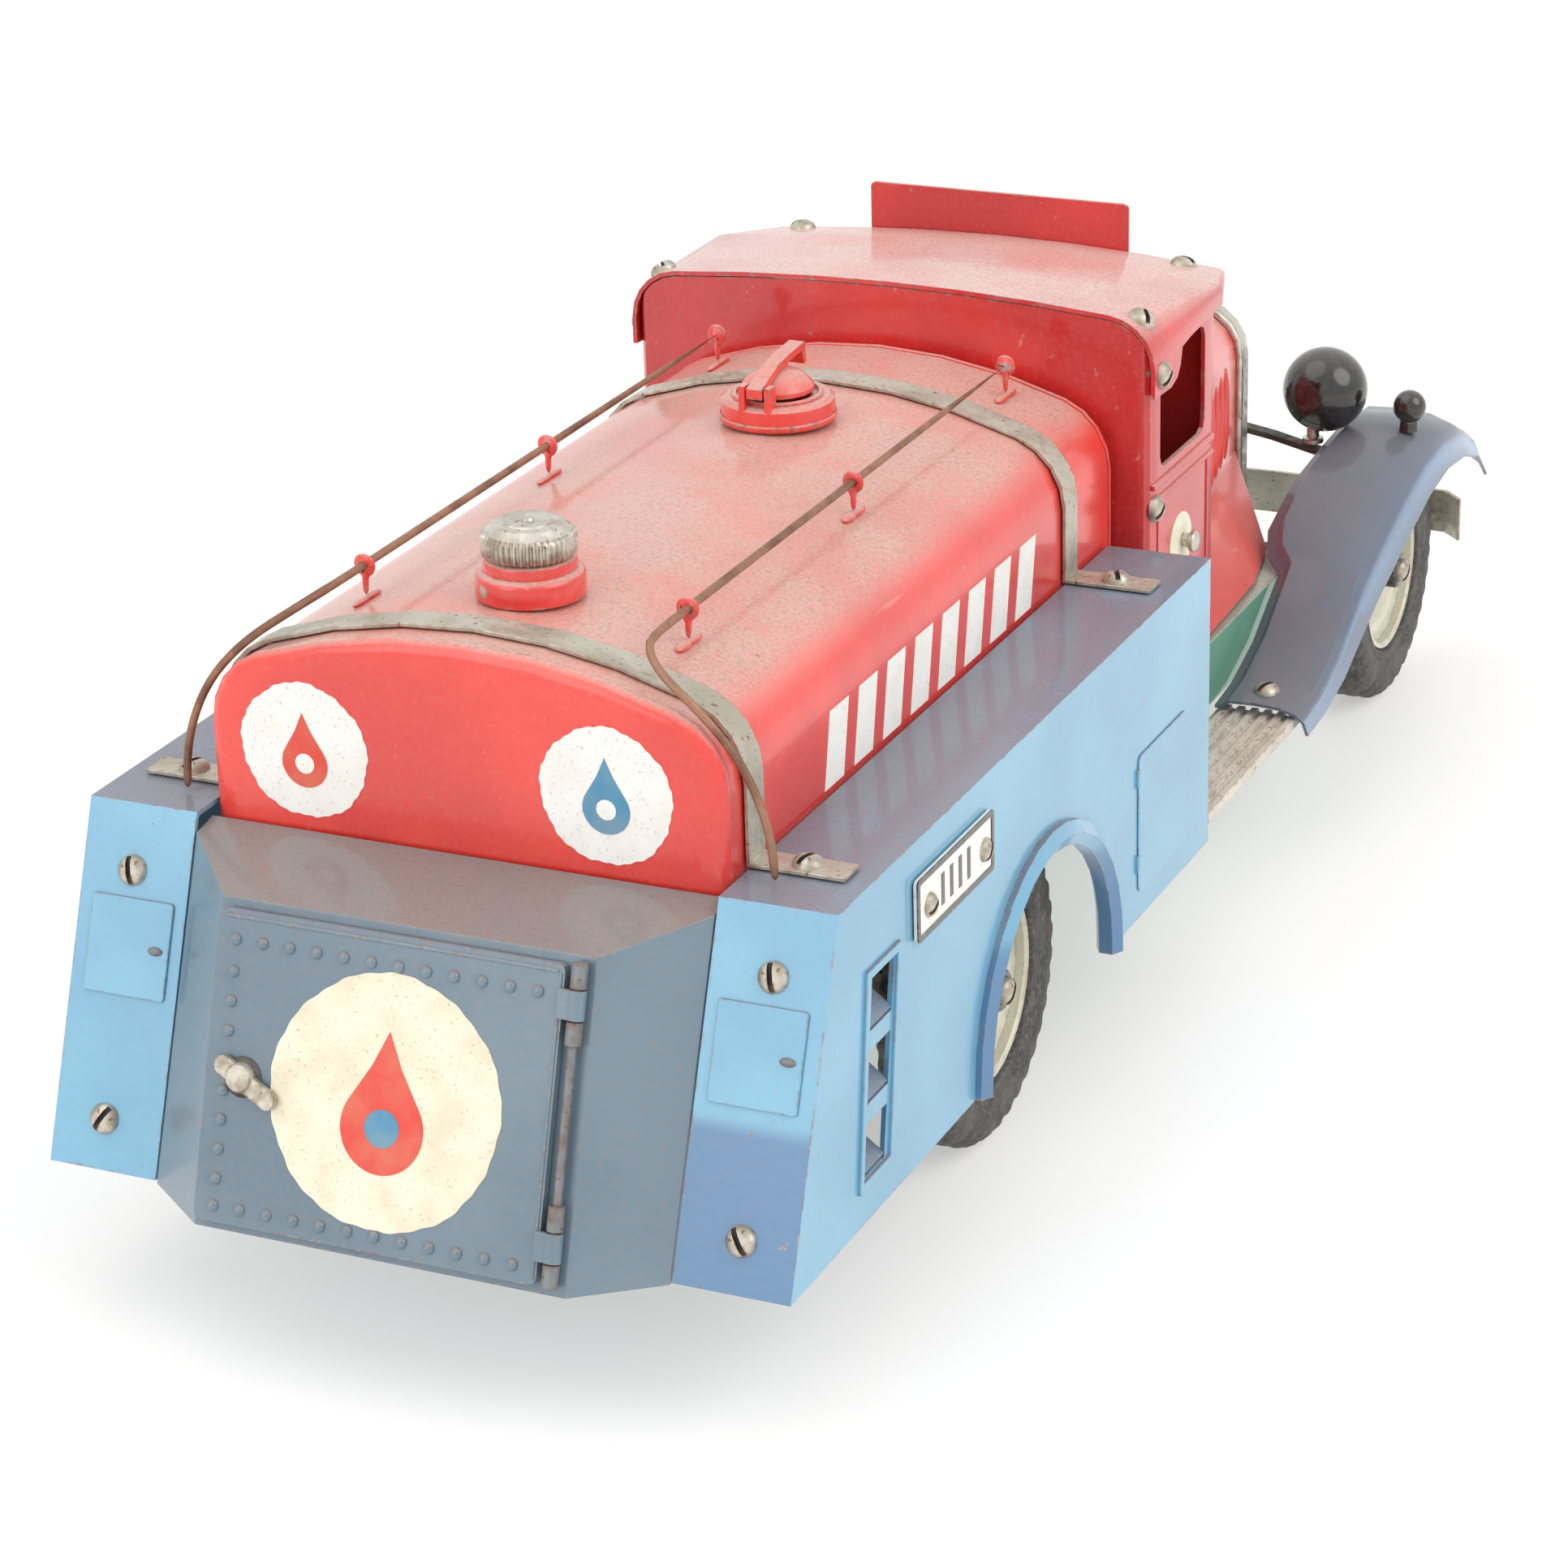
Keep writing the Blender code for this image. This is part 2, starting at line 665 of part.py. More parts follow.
def make_strap(label, y):
    """A band over the tank with a screwed foot on each side box."""
    inner = crowned_arch(TANK_HALF + 0.35, TANK_TOP + 0.35, TANK_CORNER, TANK_CROWN)
    outer = crowned_arch(TANK_HALF + 1.25, TANK_TOP + 1.25, TANK_CORNER, TANK_CROWN)
    low = BOX_TOP + GAP
    high = low + 0.9
    leg_out = TANK_HALF + 1.25
    leg_in = TANK_HALF + 0.35
    outline = [(leg_in, low), (STRAP_FOOT_END, low), (STRAP_FOOT_END, high), (leg_out, high)]
    outline += outer
    outline += [(-leg_out, high), (-STRAP_FOOT_END, high), (-STRAP_FOOT_END, low), (-leg_in, low)]
    outline += list(reversed(inner))
    finish(prism(f"tank_strap_{label}", outline, STRAP_WIDTH, "front", (0, y, 0)), TIN)


def make_rear_filler():
    base = TANK_TOP + GAP
    profile = [(6.8, base + 7.6), (8.6, base + 7.6), (9.3, base + 7.0), (9.3, base + 5.0),
               (10.2, base + 4.6), (10.8, base + 4.0), (10.8, base), (7.7, base), (7.7, base - 6),
               (6.8, base - 6)]
    neck = turned("filler_neck_rear", [(r, z - base) for r, z in profile],
                  (0, REAR_FILLER_Y, base), "Z", 20, True)
    finish(neck, RED)
    cap_z = base + 7.9
    cap_profile = [(0, 6.6), (6.9, 6.6), (7.6, 5.4), (8.9, 4.6), (9.4, 4.0), (9.4, 0.4),
                   (8.9, 0.0), (6.2, 0.0), (6.2, -3.0), (0, -3.0)]
    finish(turned("filler_cap", cap_profile, (0, REAR_FILLER_Y, cap_z), "Z", 24), NICKEL)


LID_Z = TANK_TOP + 6.3
LID_HINGE_Y = FRONT_FILLER_Y - 10.4


def make_front_filler():
    """A shallow drum with a domed lid under a hinged clamp bar."""
    base = TANK_TOP + GAP
    profile = [(7.4, 5.2), (11.4, 5.2), (12.4, 4.4), (12.4, 0.0), (8.8, 0.0), (8.8, -6.0),
               (7.4, -6.0)]
    drum = turned("filler_drum_front", profile, (0, FRONT_FILLER_Y, base), "Z", 20, True)
    for sign in (-1, 1):
        join(drum, box(f"hinge_cheek_{sign + 1}", (1.4, 3.0, 6.0),
                       (sign * 3.0, LID_HINGE_Y, LID_Z + 0.9)))
    finish(drum, RED)
    axis = empty("filler_lid_axis", (0, LID_HINGE_Y, LID_Z + 2.4))
    reach = FRONT_FILLER_Y - LID_HINGE_Y
    dome = [(0, 2.6), (3.0, 2.3), (5.6, 1.3), (7.4, -0.4), (8.0, -1.2), (8.0, -2.2), (0, -2.2)]
    lid = turned("filler_lid", dome, (0, reach, 0), "Z", 18)
    bar_outline = [(-1.6, 1.1), (-1.6, -1.1), (1.2, -1.1), (4.6, 1.6), (8.4, 2.6), (13.4, 3.4),
                   (19.6, 3.8), (20.6, 0.6), (21.8, 0.8), (21.2, 5.4), (13.4, 5.0), (7.6, 4.2),
                   (3.0, 2.8)]
    bar = prism("clamp_bar", bar_outline, 3.6, "side")
    web = box("clamp_web", (3.0, 5.0, 4.0), (0, reach, 1.6))
    join(lid, on_parent(web, axis), on_parent(bar, axis))
    finish(lid, RED, axis)


# --- rails -------------------------------------------------------------------------
def smooth_path(points, count):
    """Catmull-Rom points through a few hand-set points."""
    vectors = [Vector(p) for p in points]
    padded = [vectors[0] * 2 - vectors[1]] + vectors + [vectors[-1] * 2 - vectors[-2]]
    result = []
    for i in range(1, len(padded) - 2):
        p0, p1, p2, p3 = padded[i - 1:i + 3]
        steps = count if i < len(padded) - 3 else count + 1
        for s in range(steps):
            t = s / count
            point = 0.5 * ((2 * p1) + (p2 - p0) * t + (2 * p0 - 5 * p1 + 4 * p2 - p3) * t * t
                           + (3 * p1 - p0 - 3 * p2 + p3) * t ** 3)
            result.append(tuple(point))
    return result


def make_handrail(side, label):
    """A wire from the cab's rear wall, through three eyelets, down to the side box."""
    bend = [(RAIL_X, -168.0, RAIL_Z), (RAIL_X + 0.6, -179.0, RAIL_Z - 0.2),
            (40.5, -184.6, 135.4), (47.4, -185.8, 130.4), (54.8, -185.8, 123.0),
            (59.8, -185.8, 114.6), (62.6, -185.8, 105.6), (63.3, -185.8, BOX_TOP + GAP)]
    points = [(RAIL_X, CAB_REAR - 0.4, RAIL_Z)] + smooth_path(bend, 2)
    points = [(side * x, y, z) for x, y, z in points]
    finish(wire(f"handrail_{label}", points, RAIL_RADIUS, 1), COPPER)


def make_eyelet(side, label, number, y):
    """A split pin that stands on the tank and carries the rail."""
    name = f"eyelet_{label}_{number}"
    mesh = bpy.data.meshes.new(name)
    ring = loose(name, mesh, (side * RAIL_X, y, RAIL_Z), AXIS_TURN["Y"])
    profile = [(2.1 + 0.75 * math.cos(a), 0.75 * math.sin(a))
               for a in (math.radians(90 * i + 45) for i in range(4))]
    profile.reverse()
    mesh.from_pydata([(r * MM, 0, z * MM) for r, z in profile],
                     [(i, (i + 1) % 4) for i in range(4)], [])
    screw = ring.modifiers.new("Turn", "SCREW")
    screw.steps = 12
    screw.render_steps = 12
    screw.use_merge_vertices = True
    screw.merge_threshold = 1e-5
    foot = 131.7 + 0.5
    leg = box(f"eyelet_leg_{label}_{number}", (1.5, 1.5, RAIL_Z - 2.0 - foot),
              (side * RAIL_X, y, (RAIL_Z - 2.0 + foot) / 2))
    join(ring, leg)
    finish(ring, RED)


# --- cab ---------------------------------------------------------------------------
def roof_rings(inset, foot):
    """Sections under the roof sheet, from the back to the peak, with upright sides."""
    rings = []
    for y, half, top, corner in ROOF_STATIONS:
        arch = crowned_arch(half - inset, top - inset, corner - inset, ROOF_CROWN - inset, 6, 7)
        outline = [(half - inset, foot)] + arch + [(inset - half, foot)]
        rings.append([(x, y, z) for x, z in outline])
    return rings


def make_cab_body():
    """Four walls in one pressing, with side windows and a windscreen opening."""
    top = 152.0
    height = top - CAB_BOTTOM
    middle = (top + CAB_BOTTOM) / 2
    body = prism("cab_body", rounded_box(-CAB_HALF, CAB_REAR, CAB_HALF, CAB_FRONT, 3.0, 4),
                 height, "top", (0, 0, middle))
    inner = rounded_box(-CAB_HALF + SHEET, CAB_REAR + SHEET, CAB_HALF - SHEET,
                        CAB_FRONT - SHEET, 2.0, 4)
    cut(body, prism("cab_inside", inner, height + 10, "top", (0, 0, middle)))
    envelope = loft("cab_envelope", roof_rings(SHEET + GAP, CAB_BOTTOM - 10.0))
    boolean(body, envelope, "INTERSECT")
    window = rounded_box(24.9, 110.8, 54.7, 136.4, 3.0, 3)
    cut(body, prism("side_windows", window, 3 * CAB_HALF, "side"))
    screen = rounded_box(-49.0, 117.0, 49.0, 137.0, 5.0, 4)
    cut(body, prism("windscreen", screen, 12.0, "front", (0, CAB_FRONT, 0)))
    finish(body, RED)


def make_cab_roof():
    """A rounded sheet with a short skirt, which slopes forward into a flat peak."""
    roof = loft("cab_roof", roof_rings(0, 100.0), False, False)
    solidify(roof, SHEET, -1)
    trim = [(ROOF_REAR - 5, 90.0), (ROOF_REAR - 5, 129.6), (28.6, 129.0), (32.5, 130.2),
            (34.6, 132.6), (35.8, 136.4), (42.0, 137.3), (CAB_FRONT, 138.6),
            (ROOF_FRONT + 5, 139.4), (ROOF_FRONT + 5, 90.0)]
    cut(roof, prism("roof_trim", trim, 3 * ROOF_HALF, "side"))
    finish(roof, RED)


def make_roof_sign():
    sign = prism("roof_sign", rounded_box(-32.8, 140.6, 32.8, 153.4, 1.2, 3), SHEET, "front",
                 (0, ROOF_FRONT + GAP + SHEET / 2, 0))
    finish(sign, RED)


def make_seat():
    """A bench of bent sheet across the cab."""
    y0 = CAB_REAR + SHEET + 0.6
    outline = [(y0, CAB_BOTTOM), (y0 + 24, CAB_BOTTOM), (y0 + 24, 76.0), (y0 + 6, 76.0),
               (y0 + 3, 100.0), (y0, 100.0)]
    finish(prism("cab_seat", outline, 2 * CAB_HALF - 6, "side"), GREEN)


STEER_X = -30.0
STEER_Y = 44.0
STEER_Z = 101.0


def make_steering_wheel():
    """The wheel turns together with its column."""
    axis = empty("steering_wheel_axis", (STEER_X, STEER_Y, STEER_Z), (math.radians(45), 0, 0))
    rim = [(11.0 + 1.1 * math.cos(a), 1.1 * math.sin(a))
           for a in (math.radians(-60 * i) for i in range(6))]
    wheel = turned("steering_wheel", rim, (0, 0, 0), "Z", 18, True)
    bar = box("spoke_bar", (21.6, 2.2, 1.2), (0, 0, 0))
    bar_b = box("spoke_cross", (2.2, 21.6, 1.2), (0, 0, 0))
    hub = cylinder("wheel_hub", 2.6, 3.0, (0, 0, 0.2), "Z", 16)
    column = cylinder("steering_column", 1.7, 20.0, (0, 0, -10.5), "Z", 16)
    join(wheel, on_parent(bar, axis), on_parent(bar_b, axis), on_parent(hub, axis),
         on_parent(column, axis))
    finish(wheel, BLACK, axis)


# --- bonnet ------------------------------------------------------------------------
def make_hood():
    """Bonnet sheet that narrows from the cab to the radiator, and flares out at its foot."""
    sections = ((CAB_FRONT + GAP, 51.0, 125.0, 15.0, 59.0), (110.0, 43.5, 117.5, 13.5, 57.0),
                (134.0, 39.1, 113.1, 12.8, 52.0),
                (RADIATOR_Y - GAP, RADIATOR_HALF - 1.5, RADIATOR_TOP - 1.5, 12.0,
                 RADIATOR_HALF))
    rings = []
    for y, half, top, corner, foot in sections:
        arch = crowned_arch(half, top, corner, 150.0, 5, 5)
        low = PAN_TOP + GAP + HOOD_LIFT
        knee = low + HOOD_FLARE
        outline = [(foot, low), (half, knee)] + arch + [(-half, knee), (-foot, low)]
        rings.append([(x, y, z) for x, z in outline])
    hood = loft("hood", rings, False, False)
    finish(solidify(hood, SHEET, -1), RED)


def radiator_outline(inset):
    half = RADIATOR_HALF - inset
    arch = crowned_arch(half, RADIATOR_TOP - inset, max(13.0 - inset, 2), 150.0, 5, 5)
    low = PAN_TOP + GAP + inset
    return arch + [(-half, low), (half, low)]


def make_radiator():
    middle = RADIATOR_Y + RADIATOR_DEPTH / 2
    shell = prism("radiator_shell", radiator_outline(0), RADIATOR_DEPTH, "front", (0, middle, 0))
    recess = 3.6
    cut(shell, prism("radiator_mouth", radiator_outline(5.0), 2 * recess, "front",
                     (0, RADIATOR_Y + RADIATOR_DEPTH, 0)))
    finish(shell, NICKEL)
    cap = [(0, 6.4), (2.6, 6.0), (4.2, 4.6), (4.2, 2.4), (2.2, 1.8), (2.2, 0), (0, 0)]
    finish(turned("radiator_cap", cap, (0, middle, RADIATOR_TOP + GAP), "Z", 20), NICKEL)


WING_OUTER = 83.9


def wing_stations():
    """Along the front wing: y, inner edge x, height of the crown, height of the outer lip."""
    beside_pan = PAN_HALF_CAB + 2 * GAP
    return ((71.0, beside_pan, 38.6, 32.0), (84.0, beside_pan, 40.2, 33.0),
            (99.0, beside_pan, 45.8, 36.4), (113.0, beside_pan, 54.6, 42.6),
            (118.0, beside_pan, 58.0, 44.6), (123.0, 55.4, 60.8, 46.6),
            (131.0, 53.0, 64.6, 49.4), (150.0, 53.0, 71.2, 55.6), (168.0, 54.6, 74.6, 61.0),
            (184.0, 54.6, 75.2, 63.0), (199.0, 53.0, 72.8, 61.6), (212.0, 53.0, 66.0, 57.4),
            (220.5, 53.0, 56.4, 49.8))


def make_wing(side, label):
    """Front wing: a crowned strip over the wheel, with its outer edge turned down."""
    rings = []
    for y, inner, crown, lip in wing_stations():
        drop = crown - lip
        width = WING_OUTER - inner
        section = ((inner, crown - 0.3 * drop), (inner + 0.1 * width, crown - 0.2 * drop),
                   (inner + 0.14 * width, crown - 0.04 * drop), (inner + 0.42 * width, crown),
                   (inner + 0.68 * width, crown - 0.06 * drop),
                   (inner + 0.86 * width, crown - 0.24 * drop),
                   (inner + 0.95 * width, crown - 0.5 * drop), (WING_OUTER, lip))
        ring = [(side * x, y, z) for x, z in section]
        rings.append(ring if side > 0 else list(reversed(ring)))
    wing = loft(f"front_wing_{label}", rings, False, False)
    solidify(wing, 0.9, wing_offset(wing))
    finish(wing, SLATE)


def wing_offset(wing):
    """Solidify towards the wheel, whichever way the open sheet's faces point."""
    return -1.0 if wing.data.polygons[0].normal.z > 0 else 1.0


# --- lamps ---------------------------------------------------------------------------
LAMP_X = 53.6
LAMP_Y = 174.0
LAMP_Z = 84.0
LAMP_RADIUS = 10.8
STALK_X = 50.6                 # the stalk stands a little inside the ball's middle
STALK_FOOT = 69.7              # on the cross bar
BAR_HALF = 53.0
BAR_END = 66.4                 # lower face of the cross bar at its ends
BAR_RISE = 7.0


def make_headlight(side, label):
    """A ball-shaped body with a flat front and a rim for the glass."""
    ball = [(LAMP_RADIUS * math.sin(a), -LAMP_RADIUS * math.cos(a))
            for a in (math.radians(180 - 22.5 * i) for i in range(2, 9))]
    ball[-1] = (0, ball[-1][1])
    front = ball[0][1]
    profile = [(0, front - 0.6), (6.4, front - 0.6), (6.8, front + 0.8)] + ball
    lamp = turned(f"headlight_{label}", profile, (side * LAMP_X, LAMP_Y, LAMP_Z), "Y", 18)
    length = 6.4
    stalk = cylinder(f"stalk_{label}", 1.7, length,
                     (side * STALK_X, LAMP_Y, STALK_FOOT + length / 2), "Z", 10)
    collar = cylinder(f"stalk_collar_{label}", 2.6, 1.2,
                      (side * STALK_X, LAMP_Y, STALK_FOOT + 0.6), "Z", 12)
    join(lamp, stalk, collar)
    finish(lamp, BLACK)


def make_lamp_bar():
    """A bowed flat bar in front of the radiator, from lamp to lamp."""
    radius = (BAR_HALF ** 2 + BAR_RISE ** 2) / (2 * BAR_RISE)
    span = math.degrees(math.asin(BAR_HALF / radius))
    centre = BAR_END + BAR_RISE - radius
    upper = arc(0, centre, radius + 1.6, 90 - span, 90 + span, 9)
    lower = arc(0, centre, radius, 90 + span, 90 - span, 9)
    bar = prism("lamp_bar", upper + lower, 4.0, "front", (0, LAMP_Y, 0))
    finish(bar, TIN)


def make_side_lamp(side, label):
    """A small ball lamp on a stem on the wing's crown."""
    radius = 4.2
    ball = [(radius * math.sin(a), radius * math.cos(a))
            for a in (math.radians(22.5 * i) for i in range(1, 7))]
    profile = [(0, radius)] + ball + [(2.2, -radius + 0.2), (2.2, -6.2), (0, -6.2)]
    at = (side * 75.0, 177.0, 74.6 + 6.2)
    finish(turned(f"side_lamp_{label}", profile, at, "Z", 14), BLACK)


# --- running gear ------------------------------------------------------------------------
def make_wheel(prefix, side, label, track, y, parent=None):
    """Dished disc and tyre.  Local +Z of each is outwards."""
    axis = "X" if side > 0 else "-X"
    at = (side * track, y, AXLE_Z) if parent is None else (side * (track - KINGPIN_X), 0, 0)
    disc = [(BORE_RADIUS, 2.0), (6.0, 2.0), (7.4, 0.6), (13.2, 0.6), (14.6, 2.4), (19.2, 2.8),
            (19.4, 5.8), (RIM_RADIUS, 5.8), (RIM_RADIUS, -5.8), (19.4, -5.8), (19.2, 1.2),
            (5.4, -0.8), (5.4, -5.4), (BORE_RADIUS, -5.4)]
    finish(turned(f"{prefix}_wheel_{label}", disc, at, axis, 20, True), CREAM, parent)
    half = TYRE_WIDTH / 2
    tyre = [(RIM_RADIUS + 2 * GAP, 5.6), (30.0, half), (32.8, half - 1.2),
            (AXLE_Z, half - 3.8), (AXLE_Z, 3.8 - half), (32.8, 1.2 - half), (30.0, -half),
            (RIM_RADIUS + 2 * GAP, -5.6)]
    finish(turned(f"{prefix}_tyre_{label}", tyre, at, axis, 28, True), RUBBER, parent)


def make_rear_axle():
    length = 2 * (REAR_TRACK + 9.0)
    axle = cylinder("rear_axle", AXLE_RADIUS, length, (0, REAR_AXLE_Y, AXLE_Z), "X", 24)
    finish(axle, TIN)


def make_axle_bracket():
    """One bent bracket under the chassis, with a cheek and a bore at each side."""
    low = AXLE_Z - 5.0
    high = PAN_TOP - PAN_DEPTH - GAP
    half = 46.0
    outline = [(half, low), (half, high), (-half, high), (-half, low), (-half + 3, low),
               (-half + 3, high - 1.2), (half - 3, high - 1.2), (half - 3, low)]
    bracket = prism("rear_axle_bracket", outline, 14.0, "front", (0, REAR_AXLE_Y, 0))
    cut(bracket, cylinder("bracket_bore", BORE_RADIUS, 3 * half, (0, REAR_AXLE_Y, AXLE_Z),
                          "X", 24))
    finish(bracket, TIN)


def spring_outline(y):
    """A bow of leaves, seen from the side, with its middle on the axle beam."""
    half = 30.0
    ends = PAN_TOP - PAN_DEPTH - GAP
    sag = 5.0
    radius = (half ** 2 + sag ** 2) / (2 * sag)
    span = math.degrees(math.asin(half / radius))
    upper = arc(y, ends - sag + radius, radius, 270 - span, 270 + span, 9)
    lower = arc(y, ends - sag + radius, radius + 2.0, 270 + span, 270 - span, 9)
    return upper + lower


def make_front_axle():
    """A flat beam with an upright eye for the kingpin at each end."""
    beam = box("front_axle_beam", (2 * KINGPIN_X - 4, 5.0, 4.6), (0, FRONT_AXLE_Y, AXLE_Z))
    for sign in (-1, 1):
        eye = cylinder(f"kingpin_eye_{sign + 1}", 4.0, 4.6,
                       (sign * KINGPIN_X, FRONT_AXLE_Y, AXLE_Z), "Z", 20)
        hole = cylinder(f"kingpin_hole_{sign + 1}", 1.9, 12,
                        (sign * KINGPIN_X, FRONT_AXLE_Y, AXLE_Z), "Z", 24)
        join(beam, eye)
        cut(beam, hole)
        join(beam, prism(f"front_spring_{sign + 1}", spring_outline(FRONT_AXLE_Y), 5.0, "side",
                         (sign * 13.0, 0, 0)))
    finish(beam, TIN)


def make_knuckle(side, label):
    """Kingpin in a bracket, with the stub axle outside and the steering arm behind."""
    axis = empty(f"kingpin_axis_{label}", (side * KINGPIN_X, FRONT_AXLE_Y, AXLE_Z))
    outline = [(-3.4, 2.8), (5.4, 2.8), (5.4, -2.8), (-3.4, -2.8), (-3.4, -4.4), (6.9, -4.4),
               (6.9, 4.4), (-3.4, 4.4)]
    if side < 0:
        outline = mirrored(outline)
    knuckle = prism(f"steering_knuckle_{label}", outline, 7.0, "front")
    pin = cylinder(f"kingpin_{label}", 1.8, 8.0, (0, 0, 0), "Z", 24)
    stub = cylinder(f"stub_{label}", AXLE_RADIUS, 18.6, (side * (6.4 + 9.3), 0, 0), "X", 24)
    arm = box(f"arm_{label}", (3.0, STEER_ARM + 0.2, 1.6),
              (0, -(STEER_ARM + 0.2) / 2 - 1.4, -3.6))
    ball = cylinder(f"arm_pin_{label}", 0.9, 3.6, (0, -STEER_ARM, -5.4), "Z", 16)
    join(knuckle, on_parent(pin, axis), on_parent(stub, axis), on_parent(arm, axis),
         on_parent(ball, axis))
    finish(knuckle, TIN, axis)
    return axis


def make_tie_rod():
    """A strip with a slot at each end for the steering arms' pins."""
    y = FRONT_AXLE_Y - STEER_ARM
    z = AXLE_Z - 4.4 - GAP - 0.5
    half = KINGPIN_X
    rod = box("tie_rod", (2 * half + 8.0, 6.4, 1.0), (0, y + 0.2, z))
    for sign in (-1, 1):
        slot = prism(f"tie_slot_{sign + 1}", rounded_box(-1.35, -1.35, 1.35, 2.0, 1.3, 4), 6.0,
                     "top", (sign * half, y, z))
        cut(rod, slot)
    finish(rod, TIN)


def make_bumper():
    """A flat bar across the front with its ends bent back, on two irons."""
    y = 225.0
    outline = [(-77.0, y - 6), (-71.0, y), (71.0, y), (77.0, y - 6), (77.0, y - 4.4),
               (71.6, y + 1.3), (-71.6, y + 1.3), (-77.0, y - 4.4)]
    bumper = prism("bumper", outline, 11.5, "top", (0, 0, 36.5))
    for sign in (-1, 1):
        iron = box(f"bumper_iron_{sign + 1}", (5.0, y - PAN_FRONT - GAP + 0.6, 4.0),
                   (sign * 12.0, (y + PAN_FRONT + GAP + 0.6) / 2, 39.4))
        join(bumper, iron)
    finish(bumper, TIN)


def centre_on_origin():
    """Move the finished vehicle so that its middle stands over the origin."""
    for obj in list(PARTS.objects) + list(CUTTERS.objects):
        if obj.parent is None:
            obj.location.y -= MIDDLE_Y * MM


def build():
    make_chassis()
    make_tank_bed()
    make_number_plate()
    make_locker()
    make_locker_door()
    make_door_hinge()
    make_locker_handle()
    make_drain_tap()
    make_tap_lever()
    make_tank_shell()
    make_tank_end("rear", TANK_REAR, -1)
    make_tank_end("front", TANK_FRONT, 1)
    make_strap("rear", STRAP_YS[0])
    make_strap("front", STRAP_YS[1])
    make_rear_filler()
    make_front_filler()
    make_cab_body()
    make_cab_roof()
    make_roof_sign()
    make_seat()
    make_steering_wheel()
    make_hood()
    make_radiator()
    make_lamp_bar()
    make_rear_axle()
    make_axle_bracket()
    make_front_axle()
    make_tie_rod()
    make_bumper()
    for side, label in ((1, "right"), (-1, "left")):
        make_running_board(side, label)
        make_side_box(side, label)
        make_handrail(side, label)
        for number, y in enumerate(EYELET_YS, 1):
            make_eyelet(side, label, number, y)
        make_wing(side, label)
        make_headlight(side, label)
        make_side_lamp(side, label)
        make_wheel("rear", side, label, REAR_TRACK, REAR_AXLE_Y)
        knuckle = make_knuckle(side, label)
        make_wheel("front", side, label, FRONT_TRACK, FRONT_AXLE_Y, knuckle)
    centre_on_origin()


build()
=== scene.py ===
"""Looks of the toy tank lorry: enamel, metal and rubber, and the small fittings."""
import math

import bmesh
import bpy
from mathutils import Matrix, Vector


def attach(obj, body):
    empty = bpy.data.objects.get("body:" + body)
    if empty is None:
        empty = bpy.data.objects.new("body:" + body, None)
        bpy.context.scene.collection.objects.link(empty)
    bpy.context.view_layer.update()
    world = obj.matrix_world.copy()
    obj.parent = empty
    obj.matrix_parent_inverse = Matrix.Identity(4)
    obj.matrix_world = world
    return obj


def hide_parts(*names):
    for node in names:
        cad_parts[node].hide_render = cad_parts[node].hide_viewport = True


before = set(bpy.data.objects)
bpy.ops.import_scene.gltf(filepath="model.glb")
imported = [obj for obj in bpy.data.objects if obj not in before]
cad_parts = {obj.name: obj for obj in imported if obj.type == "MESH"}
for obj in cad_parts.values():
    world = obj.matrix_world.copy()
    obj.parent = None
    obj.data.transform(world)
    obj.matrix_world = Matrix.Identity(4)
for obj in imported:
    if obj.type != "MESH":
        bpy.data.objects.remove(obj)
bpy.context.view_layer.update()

MM = 0.001

# --- driving dimensions, in the vehicle's own millimetres ---------------------------
MIDDLE_Y = -4.4                # the middle of the vehicle, which is the frame's origin
AXLE_Z = 34.0
REAR_AXLE_Y = -89.9
FRONT_AXLE_Y = 184.0
REAR_TRACK = 61.9
FRONT_TRACK = 63.3
TYRE_HALF = 7.5
RIM_RADIUS = 20.8

BOX_TOP = 96.9
BOX_OUTER = 80.0
BOX_MIDDLE_X = 68.7
BOX_REAR_TOP = (-194.7, BOX_TOP)   # y, z of the side boxes' rear faces
BOX_REAR_BOTTOM = (-220.3, 29.0)
DOOR_FACE_TOP = (-212.9, 89.5)     # y, z of the locker's rear face
DOOR_FACE_BOTTOM = (-232.4, 28.5)
DOOR_OUT = 2.1                     # outer side of the door leaf, from that face
RIVET_XS = (-34.9, 29.3)           # ends of the door's rivet rows
RIVET_DOWNS = (7.6, 59.0)
VENT_TOP_YS = (-181.0, -169.5)     # the column of vents leans with the rear face
VENT_BOTTOM_YS = (-186.6, -174.9)
VENT_ZS = (38.7, 78.0)

TANK_HALF = 55.0
TANK_TOP = 136.5
TANK_REAR = -186.0
STRAP_YS = (-178.0, -13.3)
STRAP_FOOT_TOP = 98.1
REAR_FILLER_Y = -157.5
FRONT_FILLER_Y = -41.9
RAIL_X = 34.9
EYELET_YS = (-160.5, -82.0, 2.0)
EYELET_FOOT_Z = 132.0
STRIPES = 8
STRIPE_PITCH = 14.3
STRIPE_HALF = (4.6, 7.8)           # half width, half height
STRIPE_SLANT = 1.6

CAB_HALF = 62.7
ROOF_HALF = 64.0
BELT_Z = 107.9
HOOD_SIDE = ((63.0, 51.0), (110.0, 43.5), (159.7, 34.5))          # y, half width
HOOD_RIDGE = ((63.0, 125.0), (110.0, 117.5), (159.7, 108.0))      # y, top
LOUVRES = 9
LOUVRE_START_Y = 84.0
LOUVRE_PITCH = 7.4
LOUVRE_Z = 85.0
RADIATOR_Y = 160.0
RADIATOR_HALF = 36.0
RADIATOR_TOP = 109.5
RADIATOR_DEPTH = 6.0

LAMP_X = 53.6
LAMP_Y = 174.0
LAMP_Z = 84.0
LAMP_RADIUS = 10.8
STALK_X = 50.6
STALK_FOOT = 69.7

SCREW_RADIUS = 3.15
SIDES = ((1, "right"), (-1, "left"))

